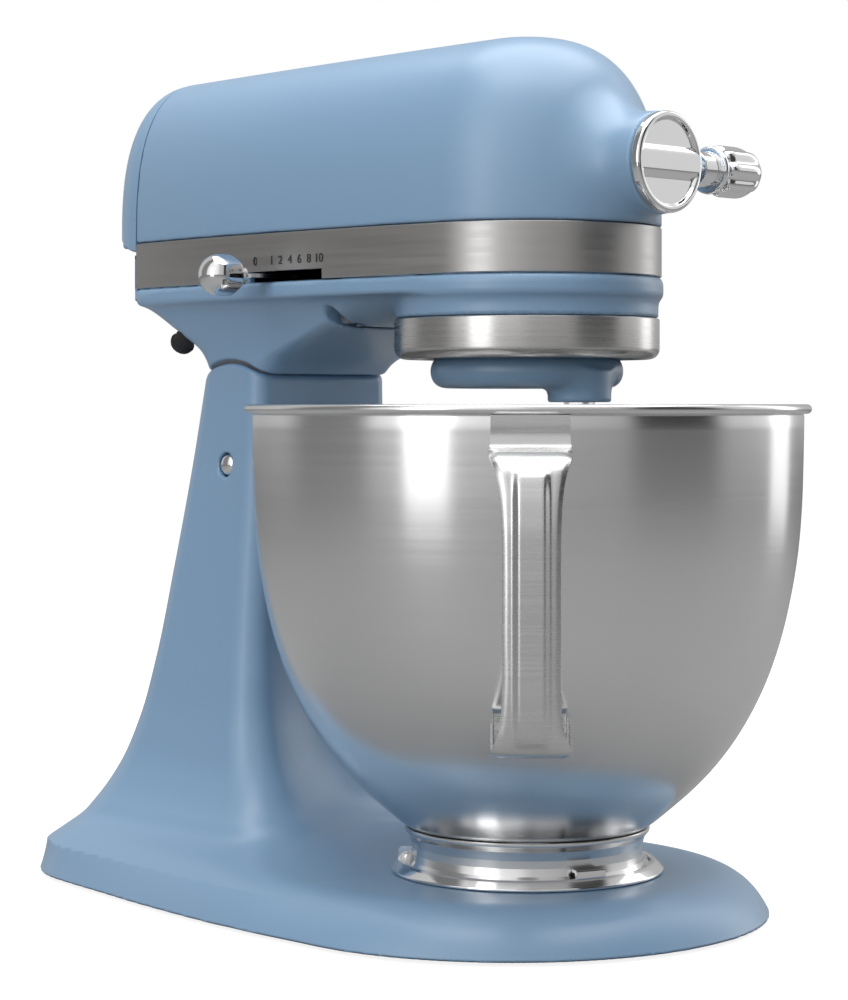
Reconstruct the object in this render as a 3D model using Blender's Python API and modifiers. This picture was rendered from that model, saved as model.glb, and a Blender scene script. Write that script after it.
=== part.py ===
"""Tilt-head stand mixer, in metres, +Z up.

The origin lies on the table under the middle of the mixer. The front faces -Y and the plane
X = 0 is the plane of symmetry of the castings. Stations along the mixer are given as u, the
distance forward of the bowl's axis, so y = BOWL_Y - u.
"""

import math

import bmesh
import bpy
from mathutils import Matrix, Vector
from mathutils.bvhtree import BVHTree

# ---- driving dimensions ------------------------------------------------------------------
GAP = 0.0003                 # gap between pieces that touch
BOWL_Y = -0.062              # the bowl's axis
HEIGHT = 0.354               # top of the head
BASE_BOTTOM = 0.0015         # lower edge of the casting, above the feet
DECK_Z = 0.0192              # flat top of the base
WALL = 0.0032                # thickness of the castings

HINGE_U = -0.139             # tilt axis
HINGE_Z = 0.1807
PIN_R = 0.0046
SEAT_R = 0.0437              # round top of the column, about the tilt axis
SEAT_GAP = 0.0015            # running gap between the column and the head

NOSE_R = 0.0543              # plan radius of the head's nose
NOSE_SLOPE = 0.0787          # how fast the head widens behind the nose
NOSE_TAPER = 0.631           # and how fast it narrows again, per metre
HEAD_REAR = -0.190           # plane of the rear cover's seam
BAND_Z = (0.2576, 0.2774)    # trim band
SPLIT_Z = 0.2665             # seam of the two castings, behind the band
BAND_T = 0.0013
COVER_LOW_Z = 0.2736         # lower edge of the rear cover, behind the ends of the band
REAR_WALL_U = -0.1922        # rear face of the lower casting
COVER_BULGE = 0.032
COVER_CENTRE_Z = 0.297

MOTOR_Z = 0.302              # motor axis, along Y at X = 0
HUB_Z = 0.300                # attachment hub's axis, along Y
KNOB_U = 0.0610              # attachment knob's axis, along X
PLANET_OFFSET = 0.028        # beater's axis, forward of the bowl's axis
RIM_R = 0.114                # bowl rim
RIM_Z = 0.2067
HANDLE_ANGLE = 47.5          # bowl handle, degrees from the front towards -X

RING_TEETH, PINION_TEETH, PLANET_MODULE = 40, 12, 0.002
CENTRE_TEETH, DRIVE_TEETH, DRIVE_MODULE = 42, 14, 0.0015
WHEEL_TEETH, WORM_STARTS = 24, 4
BEVEL_TEETH, HUB_TEETH = 30, 22
WORM_R = 0.009               # pitch radius of the worm
LEVER_Z = 0.2596             # plane of the speed lever
LOCK = (-0.066, 0.2428)      # lock lever's cross shaft, as (u, z)
CORD_EXIT = (-0.0300, 0.1115, 0.2375)
CORD_TURN = (math.radians(-128), math.radians(-20), 0.0)
DRIVE_U = -0.0322            # upright worm-wheel shaft
DRIVE_X = WORM_R + WHEEL_TEETH * DRIVE_MODULE / 2

PARTS = bpy.data.collections.new("stand_mixer")
CUTTERS = bpy.data.collections.new("cutters")
ORIGIN = Vector((0.0, 0.0, 0.0))


# ---- helpers -----------------------------------------------------------------------------
def y_of(u):
    """World Y of a station u, forward of the bowl's axis."""
    return BOWL_Y - u


def material(name, colour, rough, metal=0.0):
    """One Principled material."""
    mat = bpy.data.materials.new(name)
    mat.use_nodes = True
    shader = mat.node_tree.nodes["Principled BSDF"]
    shader.inputs["Base Color"].default_value = (*colour, 1.0)
    shader.inputs["Roughness"].default_value = rough
    shader.inputs["Metallic"].default_value = metal
    mat.diffuse_color = (*colour, 1.0)
    return mat


def add(name, mesh, mat, location=ORIGIN, rotation=(0.0, 0.0, 0.0), parent=None):
    """Link a mesh as one named part."""
    obj = bpy.data.objects.new(name, mesh)
    obj.location = location
    obj.rotation_euler = rotation
    obj.parent = parent
    if mat:
        mesh.materials.append(mat)
        PARTS.objects.link(obj)
    else:
        CUTTERS.objects.link(obj)
        obj.hide_render = True
        obj.display_type = "WIRE"
    return obj


def finish(bm, name, merge=0.0, smooth=True):
    """Turn a bmesh into a mesh with its faces pointing out."""
    if merge:
        bmesh.ops.remove_doubles(bm, verts=bm.verts, dist=merge)
    bmesh.ops.recalc_face_normals(bm, faces=bm.faces)
    mesh = bpy.data.meshes.new(name)
    bm.to_mesh(mesh)
    bm.free()
    if smooth:
        mesh.shade_smooth()
        mesh.set_sharp_from_angle(angle=math.radians(35))
    return mesh


def boolean(obj, other, operation="DIFFERENCE", solver="EXACT"):
    """Cut with, or join, another object."""
    mod = obj.modifiers.new(other.name, "BOOLEAN")
    mod.operation = operation
    mod.object = other
    mod.solver = solver
    return obj


def cylinder(name, mat, radius, length, location, axis="Z", segments=24, top_radius=None, parent=None):
    """Round bar centred on location, along X, Y or Z."""
    bm = bmesh.new()
    bmesh.ops.create_cone(bm, cap_ends=True, segments=segments, radius1=radius,
                          radius2=radius if top_radius is None else top_radius, depth=length)
    turn = {"Z": (0, 0, 0), "X": (0, math.pi / 2, 0), "Y": (math.pi / 2, 0, 0)}[axis]
    return add(name, finish(bm, name), mat, location, turn, parent)


def box(name, mat, size, location, rotation=(0.0, 0.0, 0.0), bevel=0.0, parent=None):
    """Box of full size, centred on location."""
    bm = bmesh.new()
    bmesh.ops.create_cube(bm, size=1.0)
    bmesh.ops.scale(bm, vec=Vector(size), verts=bm.verts)
    if bevel:
        bmesh.ops.bevel(bm, geom=bm.edges[:], offset=bevel, segments=1, affect="EDGES")
    return add(name, finish(bm, name, smooth=False), mat, location, rotation, parent)


def lathe(name, mat, profile, location, steps=32, axis="Z", parent=None, ring=False):
    """Turned piece. The profile is (radius, height) down its outer side; a ring's profile closes."""
    mesh = bpy.data.meshes.new(name)
    points = [(r, 0.0, z) for r, z in profile]
    edges = [(i, i + 1) for i in range(len(points) - 1)]
    if ring:
        edges.append((len(points) - 1, 0))
    mesh.from_pydata(points, edges, [])
    turn = {"Z": (0, 0, 0), "Y": (math.pi / 2, 0, 0), "X": (0, math.pi / 2, 0)}[axis]
    obj = add(name, mesh, mat, location, turn, parent)
    mod = obj.modifiers.new("turn", "SCREW")
    mod.axis = "Z"
    mod.angle = 2 * math.pi
    mod.steps = steps
    mod.render_steps = steps
    mod.use_merge_vertices = True
    mod.merge_threshold = 0.00001
    mod.use_smooth_shade = True
    return obj


def prism(name, mat, corners, low, high, plane="XY", location=ORIGIN, parent=None):
    """Flat outline drawn through low..high, along Z (plane XY), X (plane YZ) or Y (plane XZ)."""
    place = {
        "XY": lambda a, b, c: (a, b, c),
        "YZ": lambda a, b, c: (c, a, b),
        "XZ": lambda a, b, c: (a, c, b),
    }
    bm = bmesh.new()
    face = bm.faces.new([bm.verts.new(place[plane](a, b, low)) for a, b in corners])
    grown = bmesh.ops.extrude_face_region(bm, geom=[face])
    shift = Vector(place[plane](0.0, 0.0, high - low))
    moved = [v for v in grown["geom"] if isinstance(v, bmesh.types.BMVert)]
    bmesh.ops.translate(bm, vec=shift, verts=moved)
    return add(name, finish(bm, name, smooth=False), mat, location, parent=parent)


def loft(name, mat, rings, closed=True, caps=(True, True), merge=0.0, location=ORIGIN, parent=None):
    """Skin through rings that have the same number of points."""
    bm = bmesh.new()
    rows = [[bm.verts.new(p) for p in ring] for ring in rings]
    count = len(rows[0])
    for low, high in zip(rows, rows[1:]):
        for i in range(count if closed else count - 1):
            j = (i + 1) % count
            bm.faces.new((low[i], low[j], high[j], high[i]))
    if caps[0]:
        bm.faces.new(rows[0][::-1])
    if caps[1]:
        bm.faces.new(rows[-1])
    return add(name, finish(bm, name, merge), mat, location, parent=parent)


def outline(front, rear, front_w, rear_w, front_r, rear_r, power=2.0, bow=1.0, counts=(6, 4, 4)):
    """Closed plan outline, symmetric about X = 0, as (x, u) points.

    It rounds over front_r and rear_r behind the front and before the rear, and its half-width
    runs from front_w to rear_w between them, bowed out where bow is over 1.
    """
    n_front, n_side, n_rear = counts
    half = []
    for i in range(n_front + 1):
        a = math.pi / 2 * i / n_front
        along = front - front_r + front_r * math.cos(a) ** (2 / power)
        half.append((front_w * math.sin(a) ** (2 / power), along))
    start, end = front - front_r, rear + rear_r
    for i in range(1, n_side):
        t = i / n_side
        half.append((front_w + (rear_w - front_w) * t ** bow, start + (end - start) * t))
    for i in range(n_rear + 1):
        a = math.pi / 2 * (1 - i / n_rear)
        half.append((rear_w * math.sin(a) ** (2 / power), end - rear_r * math.cos(a) ** (2 / power)))
    return half + [(-x, u) for x, u in reversed(half[1:-1])]


def head_width(u):
    """Half-width of the head at the band, behind the nose."""
    s = NOSE_R * NOSE_SLOPE - u
    return NOSE_R + NOSE_SLOPE * s - NOSE_TAPER * s * s


def head_line(k, inset=0.0, counts=(7, 5)):
    """Plan line of the head from the rear on one side round the nose to the rear on the other.

    k scales the section, for the heights where the head narrows.
    """
    stop = math.pi / 2 - math.atan(NOSE_SLOPE)
    half = []
    for i in range(counts[0] + 1):
        a = stop * i / counts[0]
        r = NOSE_R * k - inset
        half.append((r * math.sin(a), r * math.cos(a)))
    start = half[-1][1]
    for i in range(1, counts[1] + 1):
        u = start + (HEAD_REAR - start) * i / counts[1]
        half.append((max(head_width(u) * k - inset, 0.0), u))
    return [(-x, u) for x, u in reversed(half[1:])] + half


def toothed(name, mat, teeth, module, length, location, twist=0.0, slices=1, shrink=1.0, bore=0.0,
            phase=0.0, axis="Z", parent=None, pitch_r=0.0, height=1.0):
    """Toothed bar or wheel of one solid, its tooth 0 at +X.

    twist turns the far end against the near one, and shrink scales it for a bevel gear.
    """
    pitch = pitch_r or teeth * module / 2
    tip, root = pitch + 0.8 * height * module, pitch - 1.15 * height * module
    step = 2 * math.pi / teeth
    marks = ((-0.30, root), (-0.11, tip), (0.11, tip), (0.30, root))
    rings = []
    for s in range(slices + 1):
        t = s / slices
        k = 1 + (shrink - 1) * t
        ring = []
        for i in range(teeth):
            for part, r in marks:
                a = phase + step * (i + part) + twist * t
                ring.append((r * k * math.cos(a), r * k * math.sin(a), length * t))
        rings.append(ring)
    obj = loft(name, mat, rings, location=location, parent=parent)
    obj.rotation_euler = {"Z": (0, 0, 0), "-Y": (math.pi / 2, 0, 0)}[axis]
    if bore:
        hole = cylinder(name + "_bore", None, bore, length * 3, location, "Z" if axis == "Z" else "Y", 20)
        boolean(obj, hole)
    return obj


# ---- finishes ----------------------------------------------------------------------------
def make_materials():
    """The finishes that the parts share."""
    return {
        "paint": material("blue_paint", (0.23, 0.40, 0.60), 0.45),
        "chrome": material("chrome", (0.80, 0.80, 0.81), 0.12, 1.0),
        "steel": material("brushed_steel", (0.66, 0.66, 0.65), 0.32, 1.0),
        "bowl": material("bowl_steel", (0.70, 0.70, 0.69), 0.25, 1.0),
        "rubber": material("rubber", (0.03, 0.03, 0.03), 0.8),
        "gear": material("gear_steel", (0.42, 0.42, 0.44), 0.4, 1.0),
        "bronze": material("bronze", (0.60, 0.38, 0.16), 0.4, 1.0),
        "iron": material("lamination_iron", (0.20, 0.20, 0.21), 0.6, 1.0),
        "copper": material("copper", (0.70, 0.32, 0.16), 0.35, 1.0),
        "plastic": material("black_plastic", (0.04, 0.04, 0.045), 0.5),
        "beater": material("cast_aluminium", (0.72, 0.72, 0.71), 0.45, 1.0),
    }


# ---- pedestal ----------------------------------------------------------------------------
BASE = {"front": 0.0950, "rear": -0.238, "front_w": 0.1070, "rear_w": 0.079, "front_r": 0.1070,
        "rear_r": 0.030}

# height, and how far the base's edge has come in there, at the front and at the rear
BASE_EDGE = ((BASE_BOTTOM, 0.0, 0.0), (0.0050, 0.0014, 0.0010), (0.0100, 0.0048, 0.0030),
             (0.0145, 0.0096, 0.0056), (DECK_Z, 0.0180, 0.0088))

# height, front, rear, front half-width, rear half-width, front rounding, rear rounding
COLUMN = (
    (0.0193, -0.060, -0.2288, 0.0860, 0.0698, 0.080, 0.030),
    (0.0235, -0.078, -0.2270, 0.0750, 0.0620, 0.060, 0.028),
    (0.0330, -0.091, -0.2215, 0.0650, 0.0555, 0.045, 0.026),
    (0.0470, -0.103, -0.2110, 0.0560, 0.0500, 0.032, 0.024),
    (0.0680, -0.111, -0.2010, 0.0500, 0.0455, 0.024, 0.022),
    (0.0950, -0.1150, -0.1920, 0.0465, 0.0425, 0.018, 0.020),
    (0.1350, -0.1170, -0.1825, 0.0435, 0.0390, 0.013, 0.018),
    (0.1807, -0.1170, -0.1725, 0.0412, 0.0355, 0.010, 0.016),
    (0.2260, -0.1170, -0.1640, 0.0400, 0.0325, 0.009, 0.014),
)
FEET = (("foot_front", 0.0, 0.071), ("foot_middle_left", 0.082, -0.014),
        ("foot_middle_right", -0.082, -0.014), ("foot_rear_left", 0.052, -0.202),
        ("foot_rear_right", -0.052, -0.202))
CLAMP_SCREW_R = 0.038
TAB_ANGLES = [19.4 + 120 * i for i in range(3)]


def ring_at(z, points):
    """Put a plan outline at a height, in world coordinates."""
    return [(x, y_of(u), z) for x, u in points]


def around(angle, radius, z):
    """Point on a circle about the bowl's axis; angle in degrees from the front towards -X."""
    a = math.radians(angle)
    return Vector((-radius * math.sin(a), BOWL_Y - radius * math.cos(a), z))


def pedestal_rings(wall):
    """Rings of the base and column. wall brings them in, for the inner side of the casting."""
    rings = []
    for z, inset, rear_inset in BASE_EDGE:
        size = dict(BASE)
        shift = inset + wall
        rear_shift = rear_inset + wall
        size.update(front=BASE["front"] - shift, rear=BASE["rear"] + rear_shift, front_w=BASE["front_w"] - shift,
                    rear_w=BASE["rear_w"] - rear_shift, front_r=BASE["front_r"] - shift)
        height = z if z > BASE_BOTTOM or not wall else z - 0.002
        lowered = wall * (z - BASE_BOTTOM) / (DECK_Z - BASE_BOTTOM)
        rings.append(ring_at(height - lowered, outline(**size, bow=1.8)))
    for z, front, rear, front_w, rear_w, front_r, rear_r in COLUMN:
        drop = wall * max(0.0, 1.0 - (z - DECK_Z) / 0.040)
        rings.append(ring_at(z - drop, outline(front - wall, rear + wall, front_w - wall, rear_w - wall,
                                               front_r - wall, rear_r - wall, power=2.4)))
    if wall:
        rings.append([(x, y, z + 0.010) for x, y, z in rings[-1]])
    return rings


def pedestal_casting(mats):
    """Base and column in one hollow casting, open below, with the column's top open between its ears."""
    skin = loft("pedestal_casting", mats["paint"], pedestal_rings(0.0))
    tree = BVHTree.FromPolygons([v.co for v in skin.data.vertices], [p.vertices for p in skin.data.polygons])
    boolean(skin, loft("pedestal_hollow", None, pedestal_rings(WALL)))

    seat = [(y_of(HINGE_U) + SEAT_R * math.sin(a), HINGE_Z + SEAT_R * math.cos(a))
            for a in (math.radians(d) for d in range(-50, 51, 5))]
    top = HINGE_Z + 0.080
    notch = box("tongue_notch", None, (0.046, 0.030, 0.040), (0, y_of(-0.168), 0.2315))
    boolean(skin, notch)
    seat += [(seat[-1][0], top), (seat[0][0], top)]
    boolean(skin, prism("seat_cutter", None, seat, -0.08, 0.08, "YZ"))
    boolean(skin, cylinder("pin_bore", None, PIN_R + GAP, 0.2, (0, y_of(HINGE_U), HINGE_Z), "X"))

    bottom = 0.0143
    for name, x, u in FEET:
        height = tree.ray_cast(Vector((x, y_of(u), 1.0)), Vector((0, 0, -1)))[0].z
        length = height - 0.0012 - bottom
        boss = cylinder(name + "_boss", None, 0.0085, length, (x, y_of(u), bottom + length / 2), segments=12)
        boolean(skin, boss, "UNION", "MANIFOLD")
    for i, angle in enumerate(TAB_ANGLES):
        spot = around(angle + 60, CLAMP_SCREW_R, DECK_Z)
        hole = cylinder(f"deck_hole_{i + 1}", None, 0.0022, 0.03, spot, segments=10)
        boolean(skin, hole, solver="MANIFOLD")
    return skin


def feet(mats):
    """Five rubber feet under the base."""
    profile = [(0, 0.0140), (0.0062, 0.0140), (0.0078, 0.0040), (0.0108, 0.0030), (0.0106, 0.0),
               (0, 0.0)]
    for name, x, u in FEET:
        lathe(name, mats["rubber"], profile, (x, y_of(u), 0.0), 12)


def bowl_clamp(mats):
    """Clamp plate on the deck with three bayonet tabs, and its screws."""
    floor, under = 0.0212, DECK_Z + GAP
    profile = [(0, floor), (0.0500, floor), (0.0504, 0.0230), (0.0512, 0.0234), (0.0522, 0.0228),
               (0.0551, 0.0204), (0.0551, under), (0, under)]
    plate = lathe("bowl_clamp_plate", mats["chrome"], profile, (0, BOWL_Y, 0), 36)
    tab = [(0.0474, 0.0268), (0.0518, 0.0268), (0.0518, 0.0215), (0.0506, 0.0215), (0.0506, 0.0258),
           (0.0474, 0.0258)]
    for i, angle in enumerate(TAB_ANGLES):
        hook = prism(f"tab_{i + 1}", None, tab, -0.006, 0.006, "XZ")
        hook.location = (0, BOWL_Y, 0)
        hook.rotation_euler.z = math.radians(-90 - angle)
        boolean(plate, hook, "UNION")
    for i, angle in enumerate(TAB_ANGLES):
        spot = around(angle + 60, CLAMP_SCREW_R, 0.0)
        middle = spot + Vector((0, 0, floor))
        boolean(plate, cylinder(f"plate_hole_{i + 1}", None, 0.0022, 0.03, middle, segments=10))
        screw = [(0, floor + 0.0024), (0.0026, floor + 0.0024), (0.0036, floor + 0.0014), (0.0036, floor + GAP),
                 (0.0019, floor + GAP), (0.0019, 0.0125), (0, 0.0125)]
        lathe(f"clamp_screw_{i + 1}", mats["gear"], screw, spot, 12)


def hinge(mats):
    """Tilt pin through both ears, domed at its ends, and the screw that holds it."""
    half = 0.0388
    profile = [(0, half), (0.0024, half - 0.0003), (0.0040, half - 0.0011), (PIN_R, half - 0.0022)]
    profile += [(r, -z) for r, z in reversed(profile)]
    lathe("hinge_pin", mats["chrome"], profile, (0, y_of(HINGE_U), HINGE_Z), 20, "X")


# ---- head castings -----------------------------------------------------------------------
# height, front, rear, front half-width, rear half-width, front rounding, rear rounding
NECK = (
    (0.2120, -0.1170, -0.1640, 0.0400, 0.0325, 0.009, 0.014),
    (0.2210, -0.1150, -0.1620, 0.0400, 0.0330, 0.010, 0.014),
    (0.2260, -0.1080, -0.1630, 0.0403, 0.0340, 0.012, 0.015),
    (0.2310, -0.0930, -0.1680, 0.0410, 0.0360, 0.015, 0.017),
    (0.2370, -0.0700, -0.1770, 0.0425, 0.0385, 0.018, 0.018),
    (0.2430, -0.0460, -0.1860, 0.0460, 0.0410, 0.022, 0.018),
    (0.2485, -0.0300, -0.1912, 0.0505, 0.0435, 0.026, 0.016),
    (0.2530, -0.0200, REAR_WALL_U, 0.0535, 0.0450, 0.030, 0.014),
)


def head_ring(z, k=1.0, inset=0.0, counts=(7, 5), rear=HEAD_REAR):
    """Closed ring of the head's plan at a height, its rear edge on the seam plane."""
    line = head_line(k, inset, counts)
    return ring_at(z, [(x, max(u, rear)) for x, u in line])


def gear_case(mats):
    """Lower casting: neck, tongue, floor of the head and the nose that holds the ring gear."""
    neck = loft("gear_case", mats["paint"], [ring_at(z, outline(*size, power=2.4)) for z, *size in NECK])
    seat = cylinder("seat_bore", None, SEAT_R + SEAT_GAP, 0.2, (0, y_of(HINGE_U), HINGE_Z), "X", 56)
    boolean(neck, seat)

    recess = BAND_T + GAP
    levels = ((0.2505, 1.0, 0.0040), (0.2520, 1.0, 0.0012), (0.2540, 1.0, 0.0), (BAND_Z[0] - GAP, 1.0, 0.0),
              (BAND_Z[0] - GAP / 2, 1.0, recess), (SPLIT_Z - GAP, 1.0, recess))
    tray = loft("case_tray", None, [head_ring(z, k, inset) for z, k, inset in levels])
    boolean(neck, tray, "UNION")
    nose = cylinder("case_nose", None, 0.0530, 0.0120, (0, BOWL_Y, 0.2473), segments=44)
    boolean(neck, nose, "UNION")
    skirt = cylinder("case_skirt", None, 0.0496, 0.0200, (0, BOWL_Y, 0.2385), segments=36)
    boolean(neck, skirt, "UNION")

    low, high = 0.2525, COVER_LOW_Z - GAP
    wall = (HEAD_REAR - GAP - REAR_WALL_U, high - low)
    rear = box("case_rear", None, (0.0904, *wall), (0, y_of(REAR_WALL_U + wall[0] / 2), (low + high) / 2))
    boolean(neck, rear, "UNION")
    behind = (0, y_of(HEAD_REAR + 0.0012), (low + high) / 2)
    boolean(neck, box("case_rear_web", None, (0.0800, 0.0040, wall[1]), behind), "UNION")

    room = [head_ring(z, 1.0, recess + 0.0034, rear=HEAD_REAR + 0.0034) for z in (0.2545, 0.2900)]
    boolean(neck, loft("case_room", None, room))
    boolean(neck, cylinder("ring_gear_room", None, 0.0464, 0.0220, (0, BOWL_Y, 0.2291), segments=36))
    boolean(neck, cylinder("shaft_room", None, 0.0108, 0.040, (0, BOWL_Y, 0.2450), segments=16))

    boolean(neck, box("lever_slot", None, (0.0200, 0.0570, 0.0050), (-0.0560, y_of(-0.0785), 0.2596)))
    boolean(neck, cylinder("lock_bore", None, 0.0033, 0.2, (0, y_of(LOCK[0]), LOCK[1]), "X", 12))
    gland = cylinder("cord_way", None, 0.0049, 0.0260, CORD_EXIT, segments=16)
    gland.rotation_euler = CORD_TURN
    boolean(neck, gland)

    hinge_at = Vector((0, y_of(HINGE_U), HINGE_Z))
    web = ((0.0030, 0.1790), (0.0030, 0.1940), (0.0080, 0.2200), (0.0080, 0.2280), (0.0120, 0.2280),
           (0.0120, 0.1790))
    web = [(hinge_at.y - ahead, z) for ahead, z in web]
    boolean(neck, prism("tongue", None, web, -0.0210, 0.0210, "YZ"), "UNION")
    boolean(neck, cylinder("pin_boss", None, 0.0105, 0.0580, hinge_at, "X", 16), "UNION")
    boolean(neck, cylinder("head_pin_bore", None, PIN_R + GAP, 0.2, hinge_at, "X", 16))
    return neck


def dome_rings(low, top, inset=0.0, rear=0.0):
    """Rings of the head above the band, up to its ridge line, from a height low.

    inset brings the rings in for the inner side of the wall, and rear moves their rear edge.
    """
    rings = []
    base = BAND_Z[1] + GAP
    for h in (0.0, 0.35, 0.58, 0.74, 0.86, 0.94, 0.985, 1.0):
        z, k = base + (top - base) * h, (1 - h ** 2.65) ** (1 / 2.65)
        line = head_line(k * (1 - inset / NOSE_R))
        line[0] = (line[0][0], line[0][1] + rear)
        line[-1] = (line[-1][0], line[-1][1] + rear)
        rings.append([(x, y_of(u), z - 0.0030 * h * max(-u, 0.0) / 0.190) for x, u in line])
    if low < base:
        rings.insert(0, [(x, y, low) for x, y, _ in rings[0]])
    return rings


def motor_housing(mats):
    """Upper casting: a shell with a rounded nose and the attachment hub's boss."""
    recess, wall = BAND_T + GAP, 0.0030
    low = BAND_Z[1] + GAP
    shell = loft("motor_housing", mats["paint"], dome_rings(low, HEIGHT), caps=(True, False), merge=0.00002)
    skirt = [ring_at(z, head_line(1.0, recess)) for z in (SPLIT_Z, low + 0.002)]
    boolean(shell, loft("housing_skirt", None, skirt), "UNION")
    boss = lathe("hub_boss", None, [(0, 0.0700), (0.0190, 0.0700), (0.0203, 0.0690), (0.0206, 0.0580),
                                    (0.0220, 0.0500), (0.0220, 0.0350), (0, 0.0350)],
                 (0, BOWL_Y, HUB_Z), 24, "Y")
    boolean(shell, boss, "UNION")
    hollow = dome_rings(SPLIT_Z - 0.01, HEIGHT - wall, wall + recess, -0.02)
    boolean(shell, loft("housing_room", None, hollow, caps=(True, False), merge=0.00002))
    bearer = cylinder("hub_bearer", None, 0.0185, 0.0330, (0, y_of(0.0520), HUB_Z), "Y", 20)
    boolean(shell, bearer, "UNION")
    boolean(shell, cylinder("knob_bore", None, 0.0041, 0.040, (0.0360, y_of(KNOB_U), HUB_Z), "X", 16))
    boolean(shell, cylinder("hub_bore", None, 0.0135, 0.060, (0, y_of(0.0570), HUB_Z), "Y", 20))
    return shell


def rear_cover(mats):
    """Rounded rear cover above the band, closing the motor room, and its screw."""
    dome = dome_rings(COVER_LOW_Z, HEIGHT)
    edges = [ring[0] for ring in dome] + [ring[-1] for ring in dome][-2::-1]
    section = [(x, z) for x, _, z in edges]
    rings = []
    for t in (0.0, 0.35, 0.62, 0.82, 0.94, 0.99):
        k = (1 - t ** 2.4) ** (1 / 2.4)
        y = y_of(HEAD_REAR - GAP - COVER_BULGE * t)
        rings.append([(x * k, y, COVER_CENTRE_Z + (z - COVER_CENTRE_Z) * k) for x, z in section])
    cover = loft("rear_cover", mats["paint"], rings)
    room = [[(x * k, y, COVER_CENTRE_Z + (z - COVER_CENTRE_Z) * k) for x, z in section]
            for k, y in ((0.93, rings[0][0][1] - 0.01), (0.93, rings[0][0][1] + 0.006),
                         (0.70, rings[0][0][1] + 0.022), (0.30, rings[0][0][1] + 0.027))]
    boolean(cover, loft("cover_room", None, room), solver="MANIFOLD")
    tip = y_of(HEAD_REAR - COVER_BULGE)
    hole = cylinder("cover_hole", None, 0.0021, 0.03, (0, tip, COVER_CENTRE_Z), "Y", 12)
    boolean(cover, hole, solver="MANIFOLD")
    screw = [(0, 0.0), (0.0030, 0.0), (0.0038, -0.0010), (0.0038, -0.0018), (0.0018, -0.0018),
             (0.0018, -0.0120), (0, -0.0120)]
    head = lathe("cover_screw", mats["chrome"], screw, (0, tip + 0.0022, COVER_CENTRE_Z), 14, "Y")
    head.rotation_euler.x = -math.pi / 2


def trim_band(mats):
    """Brushed band round the head, open at the rear, notched for the speed lever."""
    low, high = BAND_Z
    inner, outer = head_line(1.0, BAND_T, (12, 6)), head_line(1.0, 0.0, (12, 6))
    plan = [(x, y_of(u)) for x, u in outer + inner[::-1]]
    band = prism("trim_band", mats["steel"], plan, low, high)
    notch = box("band_notch", None, (0.03, 0.051, 0.0080), (-0.060, y_of(-0.0805), low))
    boolean(band, notch)
    return band


def drip_ring(mats):
    """Polished ring under the nose."""
    profile = [(0.0499, 0.2410), (0.0535, 0.2410), (0.0535, 0.2272), (0.0520, 0.2248), (0.0499, 0.2250)]
    lathe("drip_ring", mats["steel"], profile, (0, BOWL_Y, 0), 44, ring=True)


# ---- drive -------------------------------------------------------------------------------
def sleeve(name, mat, inner, outer, low, high, location, axis="Z", steps=16, parent=None):
    """Plain ring between two heights on its own axis."""
    profile = [(inner, high), (outer, high), (outer, low), (inner, low)]
    return lathe(name, mat, profile, location, steps, axis, parent, ring=True)


def motor(mats):
    """Stator, armature, its bearings, brushes and the speed control plate."""
    along = {"axis": "Y"}
    centre = (0, BOWL_Y, MOTOR_Z)
    sleeve("field_stator", mats["iron"], 0.0240, 0.0370, -0.1230, -0.0820, centre, steps=24, **along)
    armature = sleeve("armature_core", mats["iron"], 0.0043, 0.0225, -0.1210, -0.0840, centre,
                      steps=18, **along)
    winding = sleeve("winding_ends", None, 0.0043, 0.0170, -0.1260, -0.0790, centre, steps=14, **along)
    boolean(armature, winding, "UNION")
    sleeve("commutator", mats["copper"], 0.0043, 0.0120, -0.1450, -0.1290, centre, steps=16, **along)
    toothed("cooling_fan", mats["plastic"], 8, 0.0058, 0.0070, (0, y_of(-0.0740), MOTOR_Z), bore=0.0043,
            axis="-Y")
    lead = WORM_STARTS * math.pi * DRIVE_MODULE
    length = 0.0150
    twist = 2 * math.pi * length / lead
    worm_at = (0, y_of(DRIVE_U - length / 2), MOTOR_Z)
    worm = toothed("worm_shaft", mats["gear"], WORM_STARTS, DRIVE_MODULE, length, worm_at,
                   twist, 16, phase=math.pi / WORM_STARTS - twist / 2, axis="-Y", pitch_r=WORM_R)
    shaft = cylinder("armature_shaft", None, 0.0040, 0.1640, (0, y_of(-0.0940), MOTOR_Z), "Y", 16)
    boolean(worm, shaft, "UNION")
    sleeve("front_bearing", mats["bronze"], 0.0043, 0.0085, -0.0210, -0.0150, centre, steps=14, **along)
    sleeve("rear_bearing", mats["bronze"], 0.0043, 0.0085, -0.1740, -0.1680, centre, steps=14, **along)
    for side, x in (("left", 0.0215), ("right", -0.0215)):
        box("brush_" + side, mats["iron"], (0.0180, 0.0070, 0.0070), (x, y_of(-0.1370), MOTOR_Z),
            bevel=0.0006)
        holder = box("brush_holder_" + side, mats["bronze"], (0.0160, 0.0096, 0.0096),
                     (math.copysign(0.0250, x), y_of(-0.1370), MOTOR_Z))
        boolean(holder, box("brush_way_" + side, None, (0.05, 0.0076, 0.0076), (x, y_of(-0.1370), MOTOR_Z)))
    plate = box("speed_plate", mats["plastic"], (0.0560, 0.0016, 0.0460), (0, y_of(-0.1800), MOTOR_Z),
                bevel=0.0003)
    return plate


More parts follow.
